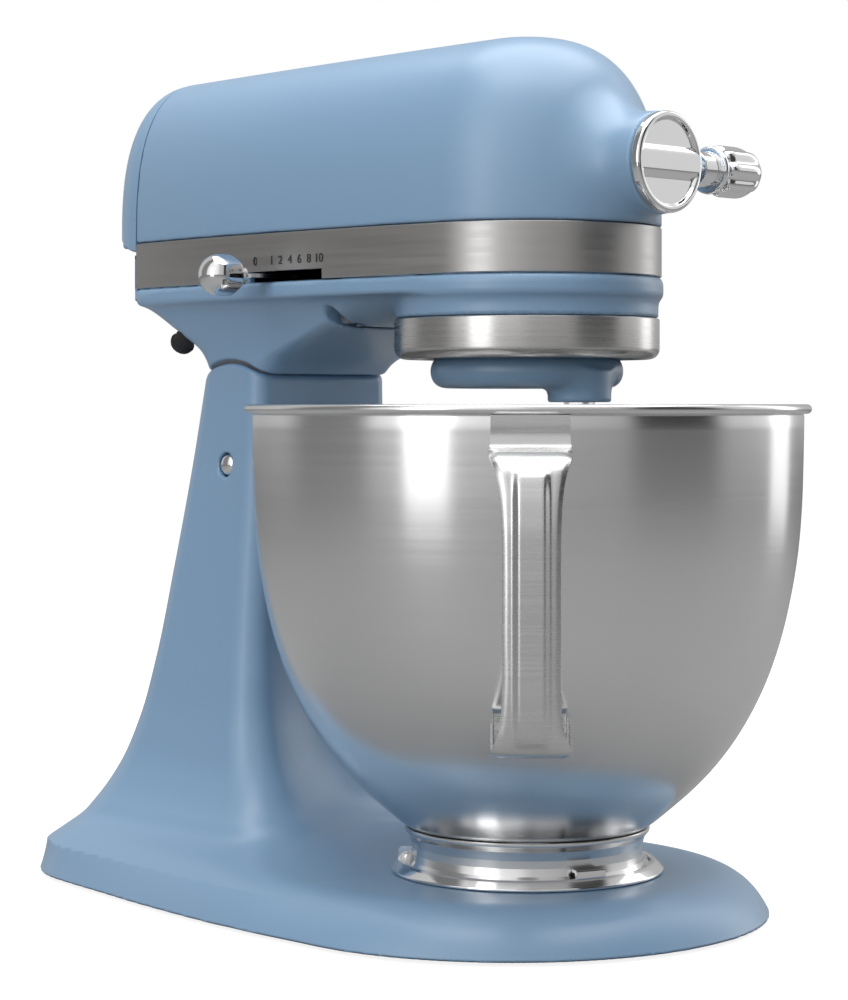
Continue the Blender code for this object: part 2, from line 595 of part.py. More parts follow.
def gear_train(mats):
    """Worm wheel, its pinion, the centre gears and the hub gear, all in mesh."""
    step_centre = math.atan2(-DRIVE_U, DRIVE_X)
    at = (DRIVE_X, y_of(DRIVE_U), 0.0)
    thick = 0.0080
    twist = thick / (3.0 * WHEEL_TEETH * DRIVE_MODULE / 2)
    wheel_at = (at[0], at[1], MOTOR_Z - thick / 2)
    toothed("worm_wheel", mats["bronze"], WHEEL_TEETH, DRIVE_MODULE, thick, wheel_at,
            twist, 2, bore=0.0043, phase=math.pi - twist / 2)
    pinion = toothed("drive_pinion", mats["gear"], DRIVE_TEETH, DRIVE_MODULE, 0.0075, (at[0], at[1], 0.2580),
                     phase=step_centre + math.pi + math.pi / DRIVE_TEETH)
    shaft = cylinder("pinion_shaft", None, 0.0040, 0.0560, (at[0], at[1], 0.2830), segments=16)
    boolean(pinion, shaft, "UNION")
    toothed("centre_gear", mats["gear"], CENTRE_TEETH, DRIVE_MODULE, 0.0065, (0, BOWL_Y, 0.2585), bore=0.0063,
            phase=step_centre)
    far = 0.72
    outer_r = BEVEL_TEETH * 0.002 / 2
    hub_r = HUB_TEETH * 0.002 / 2
    toothed("centre_bevel", mats["gear"], BEVEL_TEETH, 0.002, hub_r * (1 - far), (0, BOWL_Y, HUB_Z - hub_r),
            shrink=far, bore=0.0063)
    hub = toothed("hub_gear", mats["gear"], HUB_TEETH, 0.002 * far, outer_r * (1 - far),
                  (0, y_of(outer_r * far), HUB_Z), shrink=1 / far, phase=math.pi / HUB_TEETH, axis="-Y")
    boolean(hub, cylinder("hub_shaft", None, 0.0128, 0.0330, (0, y_of(0.0465), HUB_Z), "Y", 28), "UNION")
    boolean(hub, box("hub_socket", None, (0.0095, 0.0400, 0.0095), (0, y_of(0.0520), HUB_Z)))
    sleeve("shaft_bearing", mats["bronze"], 0.0063, 0.0105, 0.2430, 0.2530, (0, BOWL_Y, 0))


def planetary(mats):
    """Ring gear in the head, and the planetary with the beater's shaft."""
    ring = cylinder("ring_gear", mats["gear"], 0.0460, 0.0085, (0, BOWL_Y, 0.23375), segments=36)
    inner = toothed("ring_teeth", None, RING_TEETH, PLANET_MODULE, 0.0300, (0, BOWL_Y, 0.2200),
                    phase=math.pi / 2 + math.pi / RING_TEETH, height=-1.0)
    boolean(ring, inner)
    profile = [(0.0063, 0.2268), (0.0392, 0.2268), (0.0395, 0.2220), (0.0382, 0.2165),
               (0.0340, 0.2132), (0.0063, 0.2130)]
    housing = lathe("planetary_housing", mats["paint"], profile, (0, BOWL_Y, 0), 36, ring=True)
    at = Vector((0, y_of(PLANET_OFFSET), 0))
    boss = cylinder("shaft_boss", None, 0.0128, 0.0130, at + Vector((0, 0, 0.2140)), segments=28)
    boolean(housing, boss, "UNION")
    boolean(housing, cylinder("boss_bore", None, 0.0065, 0.05, at + Vector((0, 0, 0.2150)), segments=20))
    lathe("centre_shaft", mats["gear"], [(0, 0.2900), (0.0060, 0.2900), (0.0060, 0.2140), (0, 0.2140)],
          (0, BOWL_Y, 0), 14)
    shaft = [(0, 0.2395), (0.0044, 0.2395), (0.0044, 0.2288), (0.0062, 0.2288), (0.0062, 0.1890),
             (0.0054, 0.1880), (0, 0.1880)]
    spindle = lathe("beater_shaft", mats["chrome"], shaft, at, 14)
    boolean(spindle, cylinder("pin_way", None, 0.0018, 0.03, at + Vector((0, 0, 0.1960)), "X", 12))
    toothed("beater_pinion", mats["gear"], PINION_TEETH, PLANET_MODULE, 0.0075, at + Vector((0, 0, 0.2300)),
            bore=0.0047, phase=-math.pi / 2)
    cylinder("beater_pin", mats["chrome"], 0.0015, 0.0230, at + Vector((0, 0, 0.1960)), "X", 12)
    return at


def flat_beater(mats, at):
    """Flat beater: an open frame with cross bars, on a hub round the shaft."""
    hub = sleeve("flat_beater", mats["beater"], 0.0066, 0.0108, 0.1780, 0.2030, at, steps=16)
    boolean(hub, cylinder("beater_pin_way", None, 0.0019, 0.04, at + Vector((0, 0, 0.1960)), "X", 12))
    outer = [(0.0090, 0.1850), (0.0260, 0.1800), (0.0520, 0.1640), (0.0590, 0.1450), (0.0580, 0.1100),
             (0.0520, 0.0820), (0.0400, 0.0600), (0.0240, 0.0490), (0.0100, 0.0450)]
    outer += [(-x, z) for x, z in reversed(outer)]
    frame = prism("beater_frame", None, outer, -0.0040, 0.0040, "XZ", at)
    windows = (
        ((0.0045, 0.1700), (0.0230, 0.1690), (0.0440, 0.1570), (0.0500, 0.1430), (0.0045, 0.1290)),
        ((0.0045, 0.1200), (0.0500, 0.1340), (0.0490, 0.1110), (0.0470, 0.1010), (0.0045, 0.0870)),
        ((0.0045, 0.0780), (0.0440, 0.0910), (0.0330, 0.0670), (0.0210, 0.0580), (0.0045, 0.0550)),
    )
    for i, window in enumerate(windows):
        for side in (1, -1):
            cut = prism(f"beater_window_{i + 1}_{side}", None, [(x * side, z) for x, z in window],
                        -0.01, 0.01, "XZ", at)
            boolean(frame, cut)
    boolean(hub, frame, "UNION")
    boolean(hub, cylinder("shaft_way", None, 0.0066, 0.030, at + Vector((0, 0, 0.1900)), segments=24))


# ---- controls ----------------------------------------------------------------------------
def controls(mats):
    """Speed lever and its link, lock lever, hub cap, attachment knob and the cord's bush."""
    pivot = Vector((-0.0050, y_of(-0.0785), LEVER_Z))
    knob_at = Vector((-0.0748, y_of(-0.0995), LEVER_Z))
    run = knob_at - pivot
    inner, outer = pivot - run.normalized() * 0.0050, pivot + run * 0.84
    lever = box("speed_lever", mats["chrome"], ((outer - inner).length, 0.0070, 0.0016), (inner + outer) / 2,
                (0, 0, math.atan2(run.y, run.x)))
    boolean(lever, cylinder("lever_eye", None, 0.0023, 0.01, pivot, segments=12))
    cylinder("lever_pivot", mats["gear"], 0.0020, 0.0090, pivot, segments=10)
    knob = [(0, 0.0108), (0.0050, 0.0106), (0.0080, 0.0090), (0.0090, 0.0060), (0.0088, -0.0050),
            (0.0076, -0.0100), (0, -0.0105)]
    lathe("speed_knob", mats["chrome"], knob, knob_at, 12, "X").rotation_euler.y = -math.pi / 2
    box("speed_link", mats["gear"], (0.0030, 0.0860, 0.0012), (-0.0100, y_of(-0.1290), LEVER_Z + 0.0018))

    lock_at = Vector((0, y_of(LOCK[0]), LOCK[1]))
    cylinder("lock_shaft", mats["gear"], 0.0030, 0.0900, lock_at + Vector((0.0070, 0, 0)), "X", 12)
    lock = box("lock_knob", mats["chrome"], (0.0030, 0.0070, 0.0200), lock_at + Vector((0.0540, 0, -0.0070)),
               bevel=0.0008)
    grip_at = lock_at + Vector((0.0600, 0, -0.0130))
    grip = cylinder("lock_grip", None, 0.0050, 0.0120, grip_at, "X", 12, 0.0042)
    boolean(lock, grip, "UNION")

    bush = [(0, 0.0030), (0.0030, 0.0030), (0.0030, 0.0080), (0.0050, 0.0080), (0.0056, 0.0062),
            (0.0046, 0.0050),
            (0.0046, -0.0060), (0, -0.0060)]
    lathe("cord_bush", mats["rubber"], bush, CORD_EXIT, 16).rotation_euler = CORD_TURN

    cap = [(0, 0.0745), (0.0185, 0.0745), (0.0197, 0.0735), (0.0197, 0.0712), (0.0190, 0.0703),
           (0.0130, 0.0703), (0.0130, 0.0650), (0, 0.0650)]
    lathe("hub_cap", mats["chrome"], cap, (0, BOWL_Y, HUB_Z), 28, "Y")
    lobes = []
    for i in range(30):
        a = 2 * math.pi * i / 30
        r = 0.0104 + 0.0007 * math.cos(6 * a)
        lobes.append((r * math.cos(a), r * math.sin(a)))
    lobes = [(y_of(KNOB_U) + a, HUB_Z + b) for a, b in lobes]
    knob = prism("attachment_knob", mats["chrome"], lobes, 0.0440, 0.0690, "YZ")
    end = lathe("knob_end", None, [(0, 0.0690), (0.0050, 0.0685), (0.0085, 0.0665), (0.0120, 0.0610),
                                   (0.0120, 0.0300), (0, 0.0300)], (0, y_of(KNOB_U), HUB_Z), 16, "X")
    boolean(knob, end, "INTERSECT")
    shaft = cylinder("knob_shaft", None, 0.0038, 0.0360, (0.0350, y_of(KNOB_U), HUB_Z), "X", 16)
    boolean(knob, shaft, "UNION")
    collar = cylinder("knob_collar", None, 0.0080, 0.0200, (0.0348, y_of(KNOB_U), HUB_Z), "X", 20)
    boolean(knob, collar, "UNION")


# ---- bowl --------------------------------------------------------------------------------
BOWL_WALL = 0.0008
BOWL_SIDE = ((0.1110, 0.2020), (0.1104, 0.1750), (0.1086, 0.1480), (0.1057, 0.1300), (0.1013, 0.1115),
             (0.0948, 0.0934), (0.0860, 0.0765), (0.0740, 0.0600), (0.0580, 0.0450), (0.0490, 0.0375))


def bowl(mats):
    """Bowl shell, foot with bayonet lugs, handle and its lower bracket."""
    rim = [(0.1106, 0.2056), (0.1134, RIM_Z), (RIM_R, 0.2054), (0.1116, 0.2041)]
    inside = [(r - BOWL_WALL * 1.1, z + BOWL_WALL * 0.6) for r, z in BOWL_SIDE[::-1]]
    profile = [(0, inside[0][1])] + inside + rim + list(BOWL_SIDE) + [(0, BOWL_SIDE[-1][1])]
    lathe("bowl_shell", mats["bowl"], profile, (0, BOWL_Y, 0), 40)

    foot = [(0.0482, 0.0372), (0.0496, 0.0372), (0.0478, 0.0340), (0.0466, 0.0290), (0.0468, 0.0258),
            (0.0484, 0.0216), (0.0472, 0.0216), (0.0454, 0.0280), (0.0464, 0.0340)]
    ring = lathe("bowl_foot", mats["bowl"], foot, (0, BOWL_Y, 0), 36, ring=True)
    for i, angle in enumerate(TAB_ANGLES):
        lug = box(f"foot_lug_{i + 1}", None, (0.0090, 0.0046, 0.0016), around(angle, 0.0471, 0.0245))
        lug.rotation_euler.z = math.radians(-angle)
        boolean(ring, lug, "UNION")

    path = (
        (0.1120, 0.2028, 0.0145), (0.1119, 0.1945, 0.0145), (0.1140, 0.1908, 0.0150),
        (0.1200, 0.1898, 0.0150), (0.1280, 0.1888, 0.0148), (0.1340, 0.1858, 0.0138),
        (0.1372, 0.1800, 0.0122), (0.1386, 0.1700, 0.0108), (0.1390, 0.1560, 0.0104),
        (0.1388, 0.1250, 0.0104), (0.1382, 0.1000, 0.0106), (0.1374, 0.0900, 0.0120),
        (0.1356, 0.0836, 0.0142), (0.1310, 0.0808, 0.0146), (0.1200, 0.0804, 0.0146),
        (0.0930, 0.0804, 0.0146),
    )
    half = 0.0008
    rings = []
    for i, (r, z, w) in enumerate(path):
        before, after = path[max(i - 1, 0)], path[min(i + 1, len(path) - 1)]
        run = Vector((after[0] - before[0], after[1] - before[1])).normalized()
        nr, nz = -run.y * half, run.x * half
        outer, inner = (-(r + nr), z + nz), (-(r - nr), z - nz)
        rings.append([(-w, *outer), (w, *outer), (w, *inner), (-w, *inner)])
    turn = (0, 0, -math.radians(HANDLE_ANGLE))
    handle = loft("bowl_handle", mats["chrome"], rings, location=(0, BOWL_Y, 0))
    handle.rotation_euler = turn
    plan = [(-0.0146, -0.0955), (0.0146, -0.0955), (0.0146, -0.1300), (0.0132, -0.1300), (0.0132, -0.0969),
            (-0.0132, -0.0969), (-0.0132, -0.1300), (-0.0146, -0.1300)]
    bracket = prism("handle_bracket", mats["chrome"], plan[::-1], 0.0818, 0.0930, location=(0, BOWL_Y, 0))
    bracket.rotation_euler = turn


def build():
    """Make every part."""
    for obj in list(bpy.data.objects):
        bpy.data.objects.remove(obj, do_unlink=True)
    for collection in (PARTS, CUTTERS):
        bpy.context.scene.collection.children.link(collection)
    mats = make_materials()
    pedestal_casting(mats)
    feet(mats)
    bowl_clamp(mats)
    hinge(mats)
    gear_case(mats)
    motor_housing(mats)
    rear_cover(mats)
    trim_band(mats)
    drip_ring(mats)
    motor(mats)
    gear_train(mats)
    beater_axis = planetary(mats)
    flat_beater(mats, beater_axis)
    controls(mats)
    bowl(mats)


build()
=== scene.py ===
"""Looks of a tilt-head stand mixer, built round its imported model. Metres, +Z up, front towards -Y.

Stations along the mixer are given as u, the distance forward of the bowl's axis.
"""

import logging
import math
from collections.abc import Callable, Iterable, Sequence
from dataclasses import dataclass
from enum import Enum

import bmesh
import bpy
import numpy as np
from mathutils import Euler, Matrix, Vector


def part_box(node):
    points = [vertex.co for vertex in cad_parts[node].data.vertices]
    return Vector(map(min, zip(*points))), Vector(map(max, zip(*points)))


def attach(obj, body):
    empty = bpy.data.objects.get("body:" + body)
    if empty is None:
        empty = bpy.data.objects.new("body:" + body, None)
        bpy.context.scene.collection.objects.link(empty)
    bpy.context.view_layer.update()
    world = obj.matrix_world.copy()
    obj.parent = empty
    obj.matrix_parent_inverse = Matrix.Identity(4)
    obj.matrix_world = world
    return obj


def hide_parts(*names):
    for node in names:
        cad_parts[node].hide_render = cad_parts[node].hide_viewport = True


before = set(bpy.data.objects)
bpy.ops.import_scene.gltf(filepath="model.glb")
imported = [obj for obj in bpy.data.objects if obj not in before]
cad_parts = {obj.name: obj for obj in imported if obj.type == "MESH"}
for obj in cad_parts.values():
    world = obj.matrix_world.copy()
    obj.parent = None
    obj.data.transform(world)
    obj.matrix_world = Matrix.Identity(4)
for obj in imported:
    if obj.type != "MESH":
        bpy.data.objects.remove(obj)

LOG = logging.getLogger("stand_mixer")
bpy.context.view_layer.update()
BOWL_LOW, BOWL_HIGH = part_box("bowl_shell")
BOWL_Y = (BOWL_LOW[1] + BOWL_HIGH[1]) / 2
GAP = 0.0003  # between a casting and the piece that meets it at a seam
SHARP = 32.0  # edges over this angle, in degrees, stay sharp
SLOPE_STEP = 0.00012  # distance either side of a point over which a field's slope is read
LEAST_SLOPE = 0.1  # least square of a slope that a move to the surface reckons with
MOVES = 4  # moves that bring a skin's points to the surface
LONGEST_MOVE = 0.4  # the longest of them, in quads
EDGE_SHARE = 0.48  # largest share of an edge that a rounded corner takes
LEAST_TANGENT = 0.05  # keeps the corner of a flat angle finite
ON_AXIS = 1e-7  # a profile's point within this radius lies on the axis
Point = Sequence[float]
Field = Callable[[np.ndarray], np.ndarray]
Outline = list[tuple[float, float]]
Masks = tuple[bpy.types.NodeSocket, bpy.types.NodeSocket]


def y_of(u: float) -> float:
    """World Y of a station forward of the bowl's axis."""
    return BOWL_Y - u


def middle(node: str) -> Vector:
    """Centre of a node's box at rest."""
    low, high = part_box(node)
    return (Vector(low) + Vector(high)) / 2


class Axis(Enum):
    """Direction that a turned piece's own axis points in."""

    UP = Matrix.Identity(3)
    RIGHT = Euler((0, math.pi / 2, 0)).to_matrix()


# ---- curves and fields ---------------------------------------------------------------------
def flow(at: np.ndarray, knots: Sequence[float], values: Sequence[float]) -> np.ndarray:
    """Smooth curve through knots.

    Args:
        at: Places to read, clamped to the knots' range.
        knots: Rising places.
        values: The value at each knot.

    Returns:
        The values at those places.
    """
    x, y = np.asarray(knots, float), np.asarray(values, float)
    slope = np.gradient(y, x)
    t = np.clip(np.asarray(at, float), x[0], x[-1])
    i = np.clip(np.searchsorted(x, t) - 1, 0, len(x) - 2)
    width = x[i + 1] - x[i]
    s = (t - x[i]) / width
    rise = y[i] * (1 + 2 * s) * (1 - s) ** 2 + y[i + 1] * s * s * (3 - 2 * s)
    return rise + width * s * (1 - s) * (slope[i] * (1 - s) - slope[i + 1] * s)


def join(a: np.ndarray, b: np.ndarray, soft: float) -> np.ndarray:
    """Union of two fields, filleted over the width soft."""
    h = np.maximum(soft - np.abs(a - b), 0.0) / soft
    return np.minimum(a, b) - h * h * soft / 4


def meet(a: np.ndarray, b: np.ndarray, soft: float) -> np.ndarray:
    """Common part of two fields, its edge rounded over the width soft."""
    return -join(-a, -b, soft)


def cut(a: np.ndarray, b: np.ndarray, soft: float = 0.0008) -> np.ndarray:
    """Field a without field b."""
    return meet(a, -b, soft)


def slab(value: np.ndarray, low: float, high: float) -> np.ndarray:
    """Distance outside the span low..high along one axis."""
    return np.maximum(low - value, value - high)


def rod(a: np.ndarray, b: np.ndarray, radius: float) -> np.ndarray:
    """Endless round bar, where a and b are the distances from its axis."""
    return np.hypot(a, b) - radius


def crate(spans: Sequence[np.ndarray], round_off: float = 0.0006) -> np.ndarray:
    """Box from three slab fields."""
    return meet(meet(spans[0], spans[1], round_off), spans[2], round_off)


def ease(t: np.ndarray) -> np.ndarray:
    """Smooth rise from 0 to 1."""
    return t * t * (3 - 2 * t)


def sections(z: np.ndarray, rows: np.ndarray) -> list[np.ndarray]:
    """Columns of a table at some heights, which are its first column."""
    return [flow(z, rows[:, 0], column) for column in rows[:, 1:].T]


def plan_box(x: np.ndarray, u: np.ndarray, front: np.ndarray, rear: np.ndarray,
             widths: Sequence[np.ndarray], rounds: Sequence[np.ndarray]) -> np.ndarray:
    """Distance from a plan outline that tapers from its front to its rear.

    Args:
        x: Distance from the plane of symmetry.
        u: Station.
        front: Station of the front edge.
        rear: Station of the rear edge.
        widths: Half-widths at the front and the rear.
        rounds: Corner radii at the front and the rear.

    Returns:
        The distance, negative inside.
    """
    t = np.clip((front - u) / (front - rear), 0.0, 1.0)
    width = widths[0] + (widths[1] - widths[0]) * t
    radius = rounds[0] + (rounds[1] - rounds[0]) * t
    a = np.abs(x) - width + radius
    b = np.abs(u - (front + rear) / 2) - (front - rear) / 2 + radius
    return np.hypot(np.maximum(a, 0), np.maximum(b, 0)) + np.minimum(np.maximum(a, b), 0) - radius


# ---- mesh makers ---------------------------------------------------------------------------
def as_object(name: str, mesh: bpy.types.Mesh) -> bpy.types.Object:
    """Link a mesh to the scene as one piece.

    Args:
        name: Name of the piece.
        mesh: Its mesh.

    Returns:
        The piece.
    """
    piece = bpy.data.objects.new(name, mesh)
    bpy.context.scene.collection.objects.link(piece)
    return piece


def field_piece(name: str, field: Field, low: Point, high: Point, pitch: float) -> bpy.types.Object:
    """Skin of the solid where a field is negative.

    Args:
        name: Name of the piece.
        field: Roughly the distance to the surface, negative inside.
        low: Lowest corner of the region to search.
        high: Highest corner of that region.
        pitch: Size of the quads.

    Returns:
        The piece, its vertices on the surface and its normals those of the field.
    """
    axes = [np.arange(a, b + pitch, pitch) for a, b in zip(low, high)]
    value = field(np.stack(np.meshgrid(*axes, indexing="ij"), axis=-1))
    inside = value < 0
    corners = [(i, j, k) for i in (0, 1) for j in (0, 1) for k in (0, 1)]
    size = [n - 1 for n in inside.shape]
    count = sum(inside[i:i + size[0], j:j + size[1], k:k + size[2]].astype(np.int8) for i, j, k in corners)
    cells = np.argwhere((count > 0) & (count < 8))
    index = -np.ones(size, int)
    index[tuple(cells.T)] = np.arange(len(cells))
    total, hits = np.zeros((len(cells), 3)), np.zeros(len(cells))
    for a in corners:
        for axis in range(3):
            if a[axis]:
                continue
            b = np.array(a) + np.eye(3, dtype=int)[axis]
            va, vb = value[tuple((cells + a).T)], value[tuple((cells + b).T)]
            crossed = (va < 0) != (vb < 0)
            t = np.where(crossed, va / np.where(crossed, va - vb, 1.0), 0.0)
            total += crossed[:, None] * (np.array(a) + t[:, None] * np.eye(3)[axis])
            hits += crossed
    points = np.array([axes[i][0] for i in range(3)]) + (cells + total / hits[:, None]) * pitch
    for _ in range(MOVES):
        grade, here = gradient(field, points), field(points)
        step = (here / np.maximum((grade ** 2).sum(1), LEAST_SLOPE))[:, None] * grade
        reach = np.linalg.norm(step, axis=1, keepdims=True)
        points -= step * np.minimum(1.0, LONGEST_MOVE * pitch / np.maximum(reach, 1e-12))
    faces = []
    for axis in range(3):
        b, c = (axis + 1) % 3, (axis + 2) % 3
        first = np.take(inside, range(inside.shape[axis] - 1), axis)
        second = np.take(inside, range(1, inside.shape[axis]), axis)
        for flip in (False, True):
            spots = np.argwhere((second & ~first) if flip else (first & ~second))
            quad = []
            for db, dc in ((-1, -1), (0, -1), (0, 0), (-1, 0)):
                spot = spots.copy()
                spot[:, b] += db
                spot[:, c] += dc
                quad.append(index[tuple(spot.T)])
            faces.append(np.stack(quad[::-1] if flip else quad, axis=1))
    if min(int(quads.min()) for quads in faces if len(quads)) < 0:
        raise ValueError(f"{name} reaches the edge of its region")
    mesh = bpy.data.meshes.new(name)
    mesh.from_pydata(points.tolist(), [], np.concatenate(faces).tolist())
    mesh.shade_smooth()
    normals = gradient(field, points)
    normals /= np.linalg.norm(normals, axis=1, keepdims=True)
    mesh.normals_split_custom_set_from_vertices(normals.tolist())
    return as_object(name, mesh)


def gradient(field: Field, points: np.ndarray) -> np.ndarray:
    """Slope of a field at some points."""
    steps = np.eye(3) * SLOPE_STEP
    return np.stack([field(points + d) - field(points - d) for d in steps], axis=-1) / (2 * SLOPE_STEP)


def boxed_piece(name: str, field: Field, node: str, pitch: float,
                margins: tuple[float, float] = (0.003, 0.003)) -> bpy.types.Object:
    """Skin of a field, searched for round a node's box.

    Args:
        name: Name of the piece.
        field: Its field.
        node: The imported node.
        pitch: Size of the quads.
        margins: Room below and above the box.

    Returns:
        The piece.
    """
    low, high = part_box(node)
    return field_piece(name, field, [v - margins[0] for v in low], [v + margins[1] for v in high], pitch)


def filleted(points: Sequence[Point], radius: float, closed: bool = False, steps: int = 4) -> Outline:
    """Outline with its corners rounded.

    Args:
        points: Corners of a flat outline.
        radius: Largest radius; short edges get less.
        closed: Whether the last point joins the first.
        steps: Segments in each corner.

    Returns:
        The outline's points.
    """
    out = []
    n = len(points)
    for i, p in enumerate(points):
        here = Vector(p)
        if not closed and i in (0, n - 1):
            out.append(tuple(here))
            continue
        before, after = Vector(points[i - 1]) - here, Vector(points[(i + 1) % n]) - here
        half = before.angle(after) / 2
        longest = EDGE_SHARE * min(before.length, after.length)
        reach = min(radius / max(math.tan(half), LEAST_TANGENT), longest)
        a, b = here + before.normalized() * reach, here + after.normalized() * reach
        for k in range(steps + 1):
            t = k / steps
            out.append(tuple(a.lerp(here, t).lerp(here.lerp(b, t), t)))
    return out


def turned(name: str, profile: Sequence[Point], centre: Vector, axis: Axis = Axis.UP, steps: int = 96,
           ring: bool = False) -> bpy.types.Object:
    """Turned piece.

    Args:
        name: Name of the piece.
        profile: (radius, height) points.
        centre: Where the profile's zero lies.
        axis: Direction of its axis.
        steps: Segments round it.
        ring: Whether the profile closes on itself, off the axis.

    Returns:
        The closed piece, smooth but for its sharp edges.
    """
    bm = bmesh.new()
    rows = []
    for r, z in profile:
        if r < ON_AXIS:
            rows.append([bm.verts.new((0.0, 0.0, z))])
        else:
            turn = [2 * math.pi * i / steps for i in range(steps)]
            rows.append([bm.verts.new((r * math.cos(a), r * math.sin(a), z)) for a in turn])
    pairs = list(zip(rows, rows[1:])) + ([(rows[-1], rows[0])] if ring else [])
    for a, b in pairs:
        for i in range(steps):
            j = (i + 1) % steps
            corners = [a[i % len(a)], a[j % len(a)], b[j % len(b)], b[i % len(b)]]
            face = list(dict.fromkeys(corners))
            if len(face) > 2:
                bm.faces.new(face)
    bmesh.ops.transform(bm, matrix=Matrix.Translation(centre) @ axis.value.to_4x4(), verts=bm.verts)
    return closed_piece(name, bm)


def skinned(name: str, rings: Sequence[Sequence[Point]], sharp: float = SHARP) -> bpy.types.Object:
    """Piece through closed rings that have the same number of points, its ends filled.

    Args:
        name: Name of the piece.
        rings: The rings, in order.
        sharp: Edges over this angle, in degrees, stay sharp.

    Returns:
        The piece.
    """
    bm = bmesh.new()
    rows = [[bm.verts.new(p) for p in ring] for ring in rings]
    count = len(rows[0])
    for a, b in zip(rows, rows[1:]):
        for i in range(count):
            j = (i + 1) % count
            bm.faces.new((a[i], a[j], b[j], b[i]))
    bm.faces.new(rows[0][::-1])
    bm.faces.new(rows[-1])
    return closed_piece(name, bm, sharp)


def closed_piece(name: str, bm: bmesh.types.BMesh, sharp: float = SHARP) -> bpy.types.Object:
    """Turn a bmesh into a piece whose faces point out.

    Args:
        name: Name of the piece.
        bm: The bmesh, freed here.
        sharp: Edges over this angle, in degrees, stay sharp.

    Returns:
        The piece.
    """
    bmesh.ops.recalc_face_normals(bm, faces=bm.faces)
    mesh = bpy.data.meshes.new(name)
    bm.to_mesh(mesh)
    bm.free()
    mesh.shade_smooth()
    mesh.set_sharp_from_angle(angle=math.radians(sharp))
    return as_object(name, mesh)


# ---- shader node groups --------------------------------------------------------------------
def group(name: str, inputs: dict[str, float], outputs: Iterable[str]) -> bpy.types.NodeTree:
    """Empty shader group.

    Args:
        name: Name of the group.
        inputs: Its number inputs and their defaults.
        outputs: Names of its number outputs.

    Returns:
        The group, with its input and output nodes named in and out.
    """
    tree = bpy.data.node_groups.new(name, "ShaderNodeTree")
    for label, value in inputs.items():
        socket = tree.interface.new_socket(label, in_out="INPUT", socket_type="NodeSocketFloat")
        socket.default_value = value
    for label in outputs:
        tree.interface.new_socket(label, in_out="OUTPUT", socket_type="NodeSocketFloat")
    tree.nodes.new("NodeGroupInput").name = "in"
    tree.nodes.new("NodeGroupOutput").name = "out"
    return tree


def feed(tree: bpy.types.NodeTree, node: bpy.types.Node, **values: object) -> None:
    """Set or link a node's inputs.

    Args:
        tree: The tree that holds the node.
        node: The node.
        values: A number, a colour or another node's output for each input, which is given by name, or as
            the letter i and its place.
    """
    for key, value in values.items():
        placed = key[0] == "i" and key[1:].isdigit()
        socket = node.inputs[int(key[1:]) if placed else key.replace("_", " ")]
        if isinstance(value, bpy.types.NodeSocket):
            tree.links.new(value, socket)
        else:
            socket.default_value = value


def put(tree: bpy.types.NodeTree, kind: str, settings: dict | None = None,
        **values: object) -> bpy.types.Node:
    """Add a node.

    Args:
        tree: The tree that gets it.
        kind: Blender's name for its type.
        settings: Its properties.
        values: Its inputs, as feed takes them.

    Returns:
        The node.
    """
    node = tree.nodes.new(kind)
    for key, value in (settings or {}).items():
        setattr(node, key, value)
    feed(tree, node, **values)
    return node


def grain_group() -> bpy.types.NodeTree:
    """Fine grain and broad patches, the same all round a piece.

    Returns:
        The group.
    """
    tree = group("grain", {"Scale": 400.0, "Patch Scale": 12.0}, ("Grain", "Patches"))
    source, out = tree.nodes["in"], tree.nodes["out"]
    place = put(tree, "ShaderNodeTexCoord").outputs["Object"]
    fine = put(tree, "ShaderNodeTexNoise", Vector=place, Scale=source.outputs["Scale"], Detail=3.0,
               Roughness=0.6)
    broad = put(tree, "ShaderNodeTexNoise", Vector=place, Scale=source.outputs["Patch Scale"], Detail=4.0)
    feed(tree, out, Grain=fine.outputs[0], Patches=broad.outputs[0])
    return tree


def brushing_group() -> bpy.types.NodeTree:
    """Fine level lines, as a brush leaves them on sheet that is turned or drawn past it.

    Returns:
        The group.
    """
    tree = group("brushing", {"Lines": 5200.0, "Streaks": 9.0}, ("Lines", "Bands"))
    source, out = tree.nodes["in"], tree.nodes["out"]
    place = put(tree, "ShaderNodeTexCoord").outputs["Object"]
    for label, share in (("Lines", 1.0), ("Bands", 0.11)):
        across = put(tree, "ShaderNodeMath", {"operation": "MULTIPLY"}, i0=source.outputs["Lines"],
                     i1=share)
        scale = put(tree, "ShaderNodeCombineXYZ", X=source.outputs["Streaks"], Y=source.outputs["Streaks"],
                    Z=across.outputs[0])
        at = put(tree, "ShaderNodeVectorMath", {"operation": "MULTIPLY"}, i0=place, i1=scale.outputs[0])
        noise = put(tree, "ShaderNodeTexNoise", Vector=at.outputs[0], Scale=1.0, Detail=2.0)
        feed(tree, out, **{label: noise.outputs[0]})
    return tree


def stack_group() -> bpy.types.NodeTree:
    """Thin parallel sheets, stacked along Y.

    Returns:
        The group.
    """
    tree = group("stack", {"Sheets": 1800.0}, ("Edges",))
    source, out = tree.nodes["in"], tree.nodes["out"]
    place = put(tree, "ShaderNodeTexCoord").outputs["Object"]
    apart = put(tree, "ShaderNodeSeparateXYZ", Vector=place)
    turns = put(tree, "ShaderNodeMath", {"operation": "MULTIPLY"}, i0=apart.outputs["Y"],
                i1=source.outputs["Sheets"])
    wave = put(tree, "ShaderNodeMath", {"operation": "PINGPONG"}, i0=turns.outputs[0], i1=1.0)
    feed(tree, out, Edges=wave.outputs[0])
    return tree


